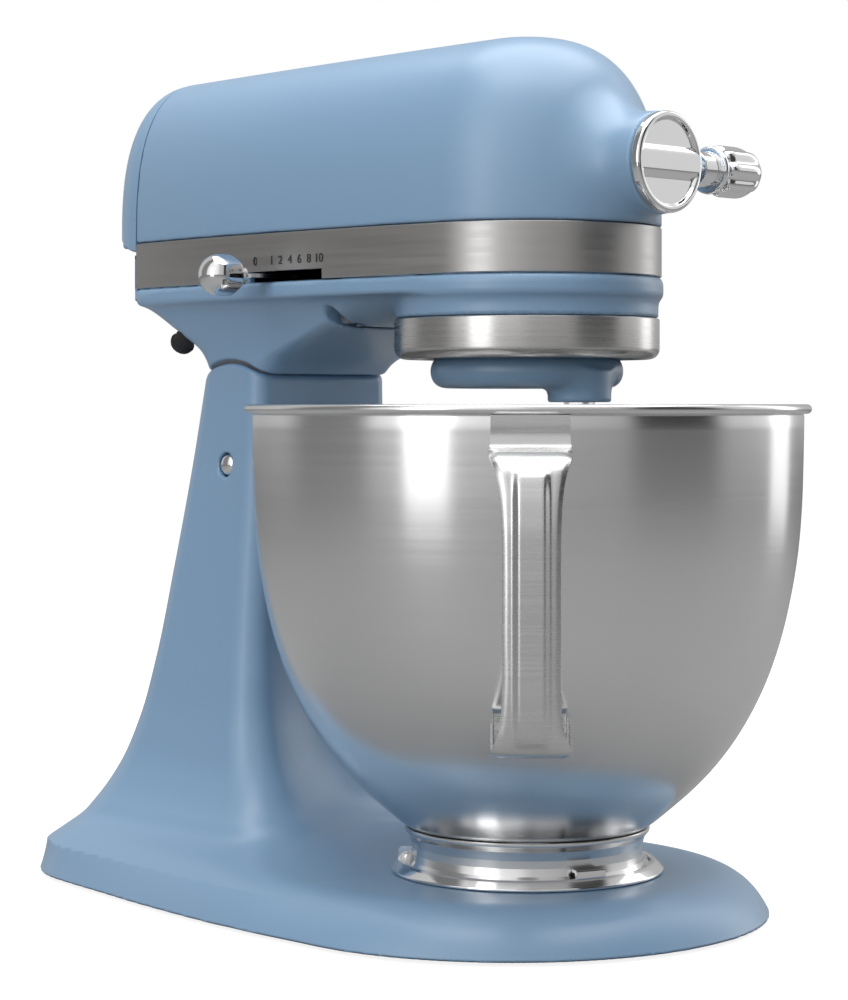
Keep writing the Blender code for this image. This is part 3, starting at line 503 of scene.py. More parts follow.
# ---- finishes ------------------------------------------------------------------------------
@dataclass(frozen=True)
class Finish:
    """A finish with a grain in its colour, gloss and surface.

    Attributes:
        name: Name of the material.
        colour: Its base colour, linear.
        rough: Lowest and highest roughness.
        metal: Whether it is bare metal.
        shade: How much darker its patches are.
        scale: Grains to the metre.
        bump: Height of the grain, in metres.
        coat: Weight of a clear coat.
        coat_rough: Roughness of that coat.
    """

    name: str
    colour: tuple[float, float, float]
    rough: tuple[float, float] = (0.4, 0.5)
    metal: bool = False
    shade: float = 0.06
    scale: float = 700.0
    bump: float = 0.00002
    coat: float = 0.0
    coat_rough: float = 0.32

    def masks(self, tree: bpy.types.NodeTree) -> Masks:
        """Fine and broad masks of this finish.

        Args:
            tree: The material's nodes.

        Returns:
            The fine mask and the broad one.
        """
        node = put(tree, "ShaderNodeGroup", {"node_tree": GROUPS["grain"]}, Scale=self.scale)
        return node.outputs["Grain"], node.outputs["Patches"]

    def material(self) -> bpy.types.Material:
        """Build the material.

        Returns:
            The material.
        """
        mat = bpy.data.materials.new(self.name)
        mat.use_nodes = True
        tree = mat.node_tree
        shader = tree.nodes["Principled BSDF"]
        fine, broad = self.masks(tree)
        darker = tuple(c * (1 - self.shade) for c in self.colour)
        tone = put(tree, "ShaderNodeMix", {"data_type": "RGBA"}, Factor=broad, i6=(*darker, 1.0),
                   i7=(*self.colour, 1.0))
        least, most = self.rough
        gloss = put(tree, "ShaderNodeMapRange", Value=broad, i1=0.3, i2=0.7, i3=least, i4=most)
        relief = put(tree, "ShaderNodeBump", Height=fine, Distance=self.bump, Strength=1.0)
        feed(tree, shader, Base_Color=tone.outputs[2], Roughness=gloss.outputs[0],
             Normal=relief.outputs[0], Metallic=float(self.metal), Coat_Weight=self.coat,
             Coat_Roughness=self.coat_rough)
        self.extras(tree, shader)
        mat.diffuse_color = (*self.colour, 1.0)
        return mat

    def extras(self, tree: bpy.types.NodeTree, shader: bpy.types.Node) -> None:
        """Settings that only some finishes have."""


@dataclass(frozen=True)
class Brushed(Finish):
    """Brushed metal, whose fine level lines spread its highlights up and down."""

    lines: float = 5200.0
    streaks: float = 9.0
    spread: float = 0.75
    quarter_turn: float = 0.25
    metal: bool = True

    def masks(self, tree: bpy.types.NodeTree) -> Masks:
        """Lines of the brush, and the wider bands between them.

        Args:
            tree: The material's nodes.

        Returns:
            The two masks.
        """
        node = put(tree, "ShaderNodeGroup", {"node_tree": GROUPS["brushing"]}, Lines=self.lines,
                   Streaks=self.streaks)
        return node.outputs["Lines"], node.outputs["Bands"]

    def extras(self, tree: bpy.types.NodeTree, shader: bpy.types.Node) -> None:
        """Stretch the highlights across the lines.

        Args:
            tree: The material's nodes.
            shader: Its main shader.
        """
        tangent = put(tree, "ShaderNodeTangent", {"direction_type": "RADIAL", "axis": "Z"})
        feed(tree, shader, Anisotropic=self.spread, Anisotropic_Rotation=self.quarter_turn,
             Tangent=tangent.outputs[0])


@dataclass(frozen=True)
class Laminated(Finish):
    """Stacked iron sheets."""

    metal: bool = True

    def masks(self, tree: bpy.types.NodeTree) -> Masks:
        """Edges of the sheets, and patches.

        Args:
            tree: The material's nodes.

        Returns:
            The two masks.
        """
        sheets = put(tree, "ShaderNodeGroup", {"node_tree": GROUPS["stack"]})
        grain = put(tree, "ShaderNodeGroup", {"node_tree": GROUPS["grain"]}, Scale=self.scale)
        return sheets.outputs["Edges"], grain.outputs["Patches"]


class Look(Enum):
    """The finishes of the mixer's pieces."""

    PAINT = Finish("satin_blue_paint", (0.235, 0.390, 0.580), (0.40, 0.46), shade=0.02, scale=1100.0,
                   bump=0.000010, coat=0.7)
    CHROME = Finish("polished_chrome", (0.86, 0.86, 0.87), (0.05, 0.10), True, 0.03, 300.0, 0.000001)
    BAND = Brushed("brushed_band_steel", (0.52, 0.51, 0.50), (0.34, 0.44), shade=0.12, bump=0.000004,
                   lines=5200.0, streaks=14.0, spread=0.5)
    RING = Brushed("satin_ring_steel", (0.66, 0.65, 0.64), (0.24, 0.30), shade=0.06, bump=0.000002,
                   lines=6500.0, streaks=6.0, spread=0.5)
    BOWL = Brushed("brushed_bowl_steel", (0.80, 0.80, 0.80), (0.20, 0.23), shade=0.04, bump=0.0000005,
                   lines=6500.0, streaks=5.0, spread=0.60)
    HANDLE = Brushed("brushed_handle_steel", (0.72, 0.72, 0.72), (0.24, 0.30), shade=0.05, bump=0.000001,
                     lines=6500.0, streaks=12.0, spread=0.3)
    RUBBER = Finish("foot_rubber", (0.028, 0.028, 0.030), (0.70, 0.85), shade=0.25, scale=1500.0,
                    bump=0.00004)
    GEAR = Finish("cut_gear_steel", (0.44, 0.44, 0.46), (0.28, 0.42), True, 0.12, 900.0, 0.00001)
    BRONZE = Finish("bearing_bronze", (0.58, 0.36, 0.15), (0.30, 0.42), True, 0.15, 900.0, 0.00001)
    IRON = Laminated("lamination_iron", (0.24, 0.24, 0.25), (0.45, 0.60), shade=0.2, bump=0.00004)
    COPPER = Finish("drawn_copper", (0.72, 0.33, 0.17), (0.25, 0.38), True, 0.18, 700.0, 0.00002)
    CARBON = Finish("brush_carbon", (0.045, 0.045, 0.05), (0.55, 0.70), shade=0.2, scale=1600.0)
    PLASTIC = Finish("black_plastic", (0.035, 0.035, 0.038), (0.42, 0.55), shade=0.1, scale=1400.0)
    BEATER = Finish("burnished_alloy", (0.66, 0.66, 0.66), (0.34, 0.48), True, 0.10, 900.0, 0.00003)
    PRINT = Finish("dial_print", (0.035, 0.035, 0.037), (0.5, 0.6), shade=0.05, bump=0.000002)


GROUPS = {"grain": grain_group(), "brushing": brushing_group(), "stack": stack_group()}
MATERIALS = {look: look.value.material() for look in Look}
BUILT: list[str] = []


def dress(piece: bpy.types.Object, look: Look) -> None:
    """Give a piece its finish."""
    piece.data.materials.clear()
    piece.data.materials.append(MATERIALS[look])


def dress_nodes(looks: dict[Look, Sequence[str]]) -> None:
    """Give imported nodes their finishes.

    Args:
        looks: The nodes of each finish.
    """
    for look, nodes in looks.items():
        for node in nodes:
            dress(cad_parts[node], look)


def fit(piece: bpy.types.Object, look: Look, body: str, slot: str, *nodes: str) -> None:
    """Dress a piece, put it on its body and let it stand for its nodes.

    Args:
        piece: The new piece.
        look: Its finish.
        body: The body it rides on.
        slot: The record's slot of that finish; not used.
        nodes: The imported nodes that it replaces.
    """
    dress(piece, look)
    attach(piece, body)
    if nodes:
        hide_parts(*nodes)
    BUILT.append(piece.name)
    LOG.info("%s on %s, %d faces", piece.name, body, len(getattr(piece.data, "polygons", ())))


# ---- pedestal ------------------------------------------------------------------------------
@dataclass
class Pedestal:
    """Base and column in one casting, with its pin, clamp plate and feet."""

    deck: float = 0.0192
    wall: float = 0.0034
    base_radius: float = 0.107
    base_centre: float = -0.012
    base_rear: float = -0.238
    seat_radius: float = 0.0437
    lip: float = 0.0022
    notch_half: float = 0.0225
    notch_floor: float = 0.2125
    pin_bore: float = 0.0052

    @property
    def rows(self) -> np.ndarray:
        """Height, front, rear, front and rear half-widths, front and rear corner radii of the column."""
        return np.array((
            (0.0150, -0.020, -0.2360, 0.0960, 0.0760, 0.070, 0.034),
            (0.0193, -0.046, -0.2310, 0.0880, 0.0700, 0.056, 0.032),
            (0.0235, -0.070, -0.2270, 0.0765, 0.0640, 0.040, 0.030),
            (0.0330, -0.089, -0.2200, 0.0655, 0.0570, 0.028, 0.028),
            (0.0470, -0.102, -0.2110, 0.0560, 0.0505, 0.020, 0.025),
            (0.0680, -0.111, -0.2010, 0.0500, 0.0455, 0.016, 0.022),
            (0.0950, -0.115, -0.1920, 0.0465, 0.0425, 0.0130, 0.020),
            (0.1350, -0.117, -0.1825, 0.0435, 0.0390, 0.0105, 0.018),
            (0.1807, -0.117, -0.1725, 0.0412, 0.0355, 0.0090, 0.016),
            (0.2300, -0.117, -0.1632, 0.0400, 0.0322, 0.0085, 0.014),
        ))

    def base(self, x: np.ndarray, u: np.ndarray, z: np.ndarray) -> np.ndarray:
        """Field of the base plate, round in front and narrowing to the rear.

        Args:
            x: Distance from the plane of symmetry.
            u: Station.
            z: Height.

        Returns:
            The field there.
        """
        back = np.maximum(self.base_centre - u, 0.0)
        width = flow(back, (0.0, 0.052, 0.095, 0.119, 0.146, 0.173, 0.204, 0.240),
                     (0.107, 0.1048, 0.0998, 0.0960, 0.0906, 0.0852, 0.0778, 0.0685))
        nose = rod(x, u - self.base_centre, self.base_radius)
        side = np.where(u > self.base_centre, nose, np.abs(x) - width)
        rear = self.base_rear - u + 1.6 * x * x
        flare = 0.55 * np.clip(z - 0.002, 0.0, 0.03)
        return meet((meet(side, rear, 0.034) + flare) * 0.88, z - self.deck, 0.015)

    def column(self, x: np.ndarray, u: np.ndarray, z: np.ndarray) -> np.ndarray:
        """Field of the column, flaring into the base.

        Args:
            x: Distance from the plane of symmetry.
            u: Station.
            z: Height.

        Returns:
            The field there.
        """
        front, rear, front_w, rear_w, front_r, rear_r = sections(z, self.rows)
        plan = plan_box(x, u, front, rear, (front_w, rear_w), (front_r, rear_r))
        slope = 1.0 + 1.6 * np.clip((0.050 - z) / 0.030, 0.0, 1.0)
        low = np.clip((0.180 - z) / 0.120, 0.0, 1.0)
        hollow = 0.0085 * low * low * (3 - 2 * low) * np.exp(-(x / 0.024) ** 2)
        ahead = np.clip((u - front + 0.030) / 0.030, 0.0, 1.0)
        return plan / slope + hollow * ahead / slope

    def field(self, p: np.ndarray) -> np.ndarray:
        """Field of the whole casting.

        Args:
            p: Points, x, y and z along their last axis.

        Returns:
            The field there.
        """
        x, u, z = p[..., 0], BOWL_Y - p[..., 1], p[..., 2]
        pin = middle("hinge_pin")
        dy, dz = p[..., 1] - pin.y, z - pin.z
        seat = rod(dy, np.maximum(dz, 0.0), self.seat_radius) + 1.5 * np.minimum(dz, 0.0)
        column, base = self.column(x, u, z), self.base(x, u, z)
        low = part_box("pedestal_casting")[0][2]
        body = meet(join(meet(column, seat, self.lip), base, 0.009), low - z, 0.0008)
        room = join(column + self.wall, np.maximum(base + self.wall, z - self.deck + self.wall), 0.004)
        notch = crate((np.abs(x) - self.notch_half, slab(u, -0.19, -0.150), self.notch_floor - z), 0.003)
        bore = rod(dy, dz, self.pin_bore)
        return cut(cut(cut(body, room, 0.0010), notch, 0.0016), bore, 0.0008)

    def build(self) -> None:
        """Make the casting and what is fixed to it."""
        casting = boxed_piece("pedestal_shell", self.field, "pedestal_casting", 0.0016, (0.003, 0.004))
        fit(casting, Look.PAINT, "pedestal", "body_paint", "pedestal_casting")
        self.pin()
        self.clamp()
        dress_nodes({
            Look.RUBBER: ("foot_front", "foot_middle_left", "foot_middle_right", "foot_rear_left",
                          "foot_rear_right"),
            Look.GEAR: [f"clamp_screw_{i + 1}" for i in range(3)],
        })

    def pin(self) -> None:
        """The domed hinge pin."""
        half = (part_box("hinge_pin")[1][0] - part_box("hinge_pin")[0][0]) / 2
        profile = [(0.0046 * math.cos(a), half - 0.0022 + 0.0022 * math.sin(a))
                   for a in np.linspace(math.pi / 2, 0, 9)]
        profile[0] = (0.0, half)
        profile += [(r, -z) for r, z in reversed(profile)]
        pin = turned("hinge_pin_domed", profile, middle("hinge_pin"), Axis.RIGHT, 40)
        fit(pin, Look.CHROME, "pedestal", "polished_chrome", "hinge_pin")

    def clamp(self) -> None:
        """Clamp plate with a turned lip, and its bayonet tabs."""
        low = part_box("bowl_clamp_plate")[0][2]
        outline = [(0.0, 0.0212), (0.0498, 0.0212), (0.0503, 0.0232), (0.0514, 0.0238), (0.0527, 0.0228),
                   (0.0551, 0.0205), (0.0551, low), (0.0, low)]
        plate = turned("clamp_plate", filleted(outline, 0.0007), Vector((0, BOWL_Y, 0)), steps=128)
        bm = bmesh.new()
        bm.from_mesh(plate.data)
        hook = filleted(((0.0470, 0.0268), (0.0520, 0.0268), (0.0520, 0.0215), (0.0506, 0.0215),
                         (0.0506, 0.0256), (0.0470, 0.0256)), 0.0006, closed=True)
        for turn in (19.4, 139.4, 259.4):
            a = math.radians(turn)
            rows = []
            for side in np.linspace(-0.125, 0.125, 9):
                rows.append([bm.verts.new((-r * math.sin(a + side), BOWL_Y - r * math.cos(a + side), z))
                             for r, z in hook])
            for one, two in zip(rows, rows[1:]):
                for i in range(len(hook)):
                    j = (i + 1) % len(hook)
                    bm.faces.new((one[i], one[j], two[j], two[i]))
            bm.faces.new(rows[0])
            bm.faces.new(rows[-1][::-1])
        bmesh.ops.recalc_face_normals(bm, faces=bm.faces)
        bm.to_mesh(plate.data)
        bm.free()
        plate.data.set_sharp_from_angle(angle=math.radians(SHARP))
        fit(plate, Look.CHROME, "pedestal", "polished_chrome", "bowl_clamp_plate")


# ---- head ----------------------------------------------------------------------------------
@dataclass
class HeadShape:
    """Plan and section that the head's castings, its cover and its band share."""

    nose: float = 0.0543
    lean: float = math.atan(0.0787)
    taper: float = 0.631
    rear: float = -0.190
    band_low: float = 0.2576
    band_high: float = 0.2774
    band_thick: float = 0.0013
    top: float = 0.354
    droop: float = 0.0030
    power: float = 2.65
    nose_steps: int = 22
    side_steps: int = 30

    def width(self, u: np.ndarray) -> np.ndarray:
        """Half-width behind the nose."""
        s = self.nose * math.sin(self.lean) - u
        return self.nose * math.cos(self.lean) + math.tan(self.lean) * s - self.taper * s * s

    def plan(self, x: np.ndarray, u: np.ndarray) -> np.ndarray:
        """How far out a point lies in plan, 1 on the band's face.

        Args:
            x: Distance from the plane of symmetry.
            u: Station.

        Returns:
            The share.
        """
        near = ease(np.clip((u + 0.006) / 0.014, 0.0, 1.0))
        side = np.abs(x) / self.width(np.minimum(u, 0.02))
        return side * (1 - near) + np.hypot(x, np.maximum(u, 0.0)) / self.nose * near

    def line(self, inset: float = 0.0) -> Outline:
        """Plan line from the rear on the +X side round the nose to the rear on the -X side.

        Args:
            inset: Distance to bring the line in.

        Returns:
            Points as (x, u).
        """
        half = []
        reach = self.nose - inset
        for a in np.linspace(0.0, math.pi / 2 - self.lean, self.nose_steps + 1):
            half.append((reach * math.sin(a), reach * math.cos(a)))
        for u in np.linspace(half[-1][1], self.rear, self.side_steps + 1)[1:]:
            half.append((float(self.width(u)) - inset, float(u)))
        return half[::-1] + [(-x, u) for x, u in half[1:]]


SHAPE = HeadShape()


@dataclass
class GearCase:
    """Lower head casting: neck, floor, nose and the tongue over the hinge."""

    seat_radius: float = 0.0452
    split: float = 0.2662
    recess: float = 0.0016
    wall: float = 0.0034
    rear: float = -0.1919
    nose_radius: float = 0.0530
    skirt_radius: float = 0.0496
    room_radius: float = 0.0464
    shaft_bore: float = 0.0108
    lock_bore: float = 0.0040
    cord_bore: float = 0.0054
    boss_radius: float = 0.0105
    pin_bore: float = 0.0050

    @property
    def rows(self) -> np.ndarray:
        """Height, front, rear, front and rear half-widths, front and rear corner radii of the neck."""
        return np.array((
            (0.2080, -0.1175, -0.1655, 0.0402, 0.0328, 0.0085, 0.014),
            (0.2170, -0.1165, -0.1630, 0.0400, 0.0325, 0.0088, 0.014),
            (0.2210, -0.1135, -0.1630, 0.0400, 0.0330, 0.0100, 0.014),
            (0.2260, -0.1055, -0.1650, 0.0403, 0.0340, 0.0125, 0.015),
            (0.2310, -0.0900, -0.1690, 0.0410, 0.0360, 0.0160, 0.017),
            (0.2370, -0.0680, -0.1780, 0.0425, 0.0385, 0.0190, 0.018),
            (0.2430, -0.0460, -0.1860, 0.0460, 0.0410, 0.0220, 0.018),
            (0.2485, -0.0300, -0.1908, 0.0505, 0.0435, 0.0260, 0.014),
            (0.2530, -0.0200, -0.1918, 0.0535, 0.0450, 0.0300, 0.010),
        ))

    def field(self, p: np.ndarray) -> np.ndarray:
        """Field of the whole casting.

        Args:
            p: Points, x, y and z along their last axis.

        Returns:
            The field there.
        """
        x, u, z = p[..., 0], BOWL_Y - p[..., 1], p[..., 2]
        pin = middle("hinge_pin")
        dy, dz = p[..., 1] - pin.y, z - pin.z
        front, rear, front_w, rear_w, front_r, rear_r = sections(z, self.rows)
        neck = plan_box(x, u, front, rear, (front_w, rear_w), (front_r, rear_r)) / 1.25
        neck = meet(neck, slab(z, 0.2095, 0.2535), 0.001)
        face = (SHAPE.plan(x, u) - 1.0) * SHAPE.nose
        back = self.rear - u
        tray = meet(meet(face, back, 0.006), slab(z, 0.2503, SHAPE.band_low - GAP), 0.0018)
        inner = meet(meet(face + self.recess, -0.1888 - u, 0.002), slab(z, 0.2540, self.split), 0.0008)
        wall_z = slab(z, 0.2520, 0.2732)
        rear_wall = crate((np.abs(x) - 0.0452, slab(u, self.rear, -0.1905), wall_z), 0.0010)
        rear_web = crate((np.abs(x) - 0.0400, slab(u, -0.1915, -0.1868), wall_z), 0.0008)
        nose = meet(rod(x, u, self.nose_radius), slab(z, 0.2413, 0.2530), 0.0012)
        body = join(join(neck, tray, 0.005), nose, 0.005)
        body = np.minimum(np.minimum(body, inner), np.minimum(rear_wall, rear_web))
        body = cut(body, np.maximum(rod(dy, dz, self.seat_radius), -dz), 0.0016)
        skirt = meet(rod(x, u, self.skirt_radius), slab(z, 0.2287, 0.2480), 0.0008)
        body = np.minimum(body, skirt)
        room = np.maximum(meet(face + self.recess + self.wall, -0.1866 - u, 0.002), 0.2545 - z)
        body = cut(body, room)
        body = cut(body, np.maximum(rod(x, u, self.room_radius), z - 0.2401))
        body = cut(body, np.maximum(rod(x, u, self.shaft_bore), z - 0.2640))
        slot = crate((slab(x, -0.0680, -0.0450), slab(u, -0.1070, -0.0500), slab(z, 0.2574, 0.2621)))
        body = cut(body, slot)
        lock = middle("lock_shaft")
        bore = rod(p[..., 1] - lock.y, z - lock.z, self.lock_bore)
        body = cut(body, bore, 0.0012)
        bush = middle("cord_bush")
        aim = Euler((math.radians(-128), math.radians(-20), 0.0)).to_matrix() @ Vector((0, 0, 1))
        away = p - np.array(bush)
        along = away @ np.array(aim)
        off = np.sqrt(np.maximum((away ** 2).sum(-1) - along ** 2, 0.0))
        body = cut(body, np.maximum(off - self.cord_bore, np.abs(along) - 0.016), 0.0014)
        lean = 0.19 * np.maximum(dz - 0.0130, 0.0)
        web = slab(dy + lean, -0.0120, -0.0035)
        tongue = crate((np.abs(x) - 0.0210, web, slab(dz, 0.0, 0.0470)), 0.0012)
        boss = np.maximum(rod(dy, dz, self.boss_radius), np.abs(x) - 0.0290)
        body = np.minimum(body, join(tongue, boss, 0.003))
        return cut(body, rod(dy, dz, self.pin_bore))

    def build(self) -> None:
        """Make the casting."""
        piece = boxed_piece("gear_case_shell", self.field, "gear_case", 0.0015)
        fit(piece, Look.PAINT, "head", "body_paint", "gear_case")


@dataclass
class MotorHousing:
    """Upper head casting with the attachment hub's boss."""

    wall: float = 0.0030
    recess: float = 0.0016
    boss_radius: float = 0.0199
    boss_end: float = 0.0700
    bearer_radius: float = 0.0185
    hub_bore: float = 0.0135
    knob_bore: float = 0.0043

    def dome(self, x: np.ndarray, u: np.ndarray, z: np.ndarray, inset: float = 0.0) -> np.ndarray:
        """Field of the dome over the band.

        Args:
            x: Distance from the plane of symmetry.
            u: Station.
            z: Height.
            inset: Distance to bring the dome in.

        Returns:
            The field there.
        """
        base = SHAPE.band_high
        across = SHAPE.plan(x, u) * SHAPE.nose / (SHAPE.nose - inset)
        fall = SHAPE.droop * np.clip(-u, 0.0, None) / 0.190
        rise = np.maximum(z - base, 0.0)
        up = rise / (SHAPE.top - inset - base - fall * rise / (SHAPE.top - base))
        share = (across ** SHAPE.power + up ** SHAPE.power) ** (1 / SHAPE.power)
        return (share - 1.0) * (SHAPE.nose - inset)

    def field(self, p: np.ndarray) -> np.ndarray:
        """Field of the whole casting.

        Args:
            p: Points, x, y and z along their last axis.

        Returns:
            The field there.
        """
        x, u, z = p[..., 0], BOWL_Y - p[..., 1], p[..., 2]
        hub = middle("hub_cap")
        dz = z - hub.z
        low = SHAPE.band_high + GAP
        reach = np.hypot(x, dz)
        boss = meet(reach - self.boss_radius - 0.05 * (self.boss_end - u), u - self.boss_end, 0.0016)
        boss = np.maximum(boss, 0.030 - u)
        shell = join(self.dome(x, u, z), boss, 0.013)
        shell = meet(shell, low - z, 0.0012)
        skirt = (SHAPE.plan(x, u) - 1.0) * SHAPE.nose + 2 * self.recess
        skirt = np.maximum(skirt, slab(z, 0.2665, low + 0.003))
        shell = meet(np.minimum(shell, skirt), SHAPE.rear - u, 0.0010)
        room = np.maximum(self.dome(x, u, z, self.wall + 2 * self.recess), u - 0.047)
        shell = cut(shell, room)
        bearer = np.maximum(reach - self.bearer_radius, slab(u, 0.0355, 0.0685))
        shell = np.minimum(shell, bearer)
        shell = cut(shell, np.maximum(reach - self.hub_bore, 0.027 - u), 0.0010)
        knob = middle("attachment_knob")
        return cut(shell, np.maximum(rod(p[..., 1] - knob.y, z - knob.z, self.knob_bore), -x))

    def build(self) -> None:
        """Make the casting."""
        piece = boxed_piece("motor_housing_shell", self.field, "motor_housing", 0.0018)
        fit(piece, Look.PAINT, "head", "body_paint", "motor_housing")


@dataclass
class RearCover:
    """Rounded cover over the rear of the head, and its screw."""

    low: float = 0.2736
    centre: float = 0.297
    bulge: float = 0.032
    power: float = 2.1
    low_power: float = 1.5
    least_ring: float = 0.02

    def section(self) -> Outline:
        """Outline of the seam as (x, z), from the bottom on the +X side over the top.

        Returns:
            The outline's points.
        """
        width = float(SHAPE.width(np.array(SHAPE.rear)))
        height = SHAPE.top - SHAPE.band_high - SHAPE.droop
        half = [(width, self.low + 0.0010), (width, (self.low + SHAPE.band_high) / 2)]
        for a in np.linspace(0.0, math.pi / 2, 26):
            half.append((width * math.cos(a) ** (2 / SHAPE.power),
                         SHAPE.band_high + height * math.sin(a) ** (2 / SHAPE.power)))
        foot = [(width - 0.0012, self.low)]
        left = [(-x, z) for x, z in reversed(half[:-1])]
        floor = [(x, self.low) for x in np.linspace(-width + 0.0012, width - 0.0012, 24)][:-1]
        return foot + half + left + floor

    def build(self) -> None:
        """Make the cover as a bulged skin, hollow from its seam."""
        front = y_of(SHAPE.rear) + GAP
        rings = []
        shape = self.section()
        for grow, back in ((0.90, 0.014), (0.93, 0.0), (0.985, 0.0)):
            rings.append([(x * grow, front + back, self.centre + (z - self.centre) * grow)
                          for x, z in shape])
        for a in np.linspace(0.0, math.pi / 2 * 0.985, 24):
            k = math.cos(a) ** (2 / self.power)
            t = math.sin(a) ** (2 / self.power)
            grow = max(k, self.least_ring)
            low_grow = max((1 - t ** self.low_power) ** (1 / self.low_power), self.least_ring)
            rings.append([(x * grow, front + self.bulge * t,
                           self.centre + (z - self.centre) * (grow if z > self.centre else low_grow))
                          for x, z in shape])
        cover = skinned("rear_cover_shell", rings)
        fit(cover, Look.PAINT, "head", "body_paint", "rear_cover")
        dress(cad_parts["cover_screw"], Look.CHROME)


@dataclass
class TrimBand:
    """Brushed band round the head, its slot and the numbers over it."""

    slot_front: float = -0.0545
    slot_rear: float = -0.1065
    slot_top: float = 0.2617
    edge: float = 0.00035
    digit: float = 0.0052
    ink: float = 0.00012
    marks: tuple[tuple[str, float], ...] = (("0", -0.1015), ("1", -0.0910), ("2", -0.0855), ("4", -0.0795),
                                            ("6", -0.0738), ("8", -0.0680), ("10", -0.0622))

    def build(self) -> None:
        """Make the band and print its numbers."""
        outer, inner = SHAPE.line(), SHAPE.line(inset=SHAPE.band_thick)
        edge = self.edge
        rings: list[list[tuple[float, float, float]]] = []
        slot = False
        for (ox, ou), (ix, iu) in zip(outer, inner):
            inside = ox < 0 and self.slot_rear < ou < self.slot_front
            lows = [self.slot_top if inside else SHAPE.band_low]
            if inside != slot:
                lows = [self.slot_top if slot else SHAPE.band_low, *lows]
                slot = inside
            for low in lows:
                high = SHAPE.band_high
                in_x, in_u = (ix - ox) * edge / SHAPE.band_thick, (iu - ou) * edge / SHAPE.band_thick
                rings.append([(ox, y_of(ou), low + edge), (ox, y_of(ou), high - edge),
                              (ox + in_x, y_of(ou + in_u), high), (ix, y_of(iu), high), (ix, y_of(iu), low),
                              (ox + in_x, y_of(ou + in_u), low)])
        fit(skinned("brushed_band", rings), Look.BAND, "head", "band_steel", "trim_band")
        for label, u in self.marks:
            self.number(label, u)

    def number(self, label: str, u: float) -> None:
        """Print one number on the band's face.

        Args:
            label: The number.
            u: Station of its middle.
        """
        curve = bpy.data.curves.new("dial_" + label, "FONT")
        curve.body = label
        curve.size = self.digit
        curve.align_x = "CENTER"
        curve.extrude = self.ink
        width = float(SHAPE.width(np.array(u)))
        slope = float(SHAPE.width(np.array(u + 0.001)) - SHAPE.width(np.array(u - 0.001))) / 0.002
        text = bpy.data.objects.new("dial_" + label, curve)
        bpy.context.scene.collection.objects.link(text)
        text.matrix_world = (Matrix.Translation((-width - 0.0001, y_of(u), self.slot_top + 0.0026))
                             @ Matrix.Rotation(-math.pi / 2 + math.atan(slope), 4, "Z")
                             @ Matrix.Rotation(math.pi / 2, 4, "X"))
        fit(text, Look.PRINT, "head", "black_plastic")


@dataclass
class DripRing:
    """Satin ring under the nose."""

    inner: float = 0.0499
    outer: float = 0.0535
    roll: float = 0.0042

    def build(self) -> None:
        """Make the ring, its lower edge rolled in."""
        low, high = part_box("drip_ring")
        roll = self.roll
        outline = [(self.inner, high[2]), (self.outer - 0.0004, high[2]), (self.outer, high[2] - 0.0004)]
        for a in np.linspace(0.0, math.pi / 2, 10):
            outline.append((self.outer - roll + roll * math.cos(a), low[2] + roll - roll * math.sin(a)))
        outline.append((self.inner, low[2] + 0.0002))
        ring = turned("satin_drip_ring", outline, Vector((0, BOWL_Y, 0)), steps=144, ring=True)
        fit(ring, Look.RING, "head", "band_steel", "drip_ring")


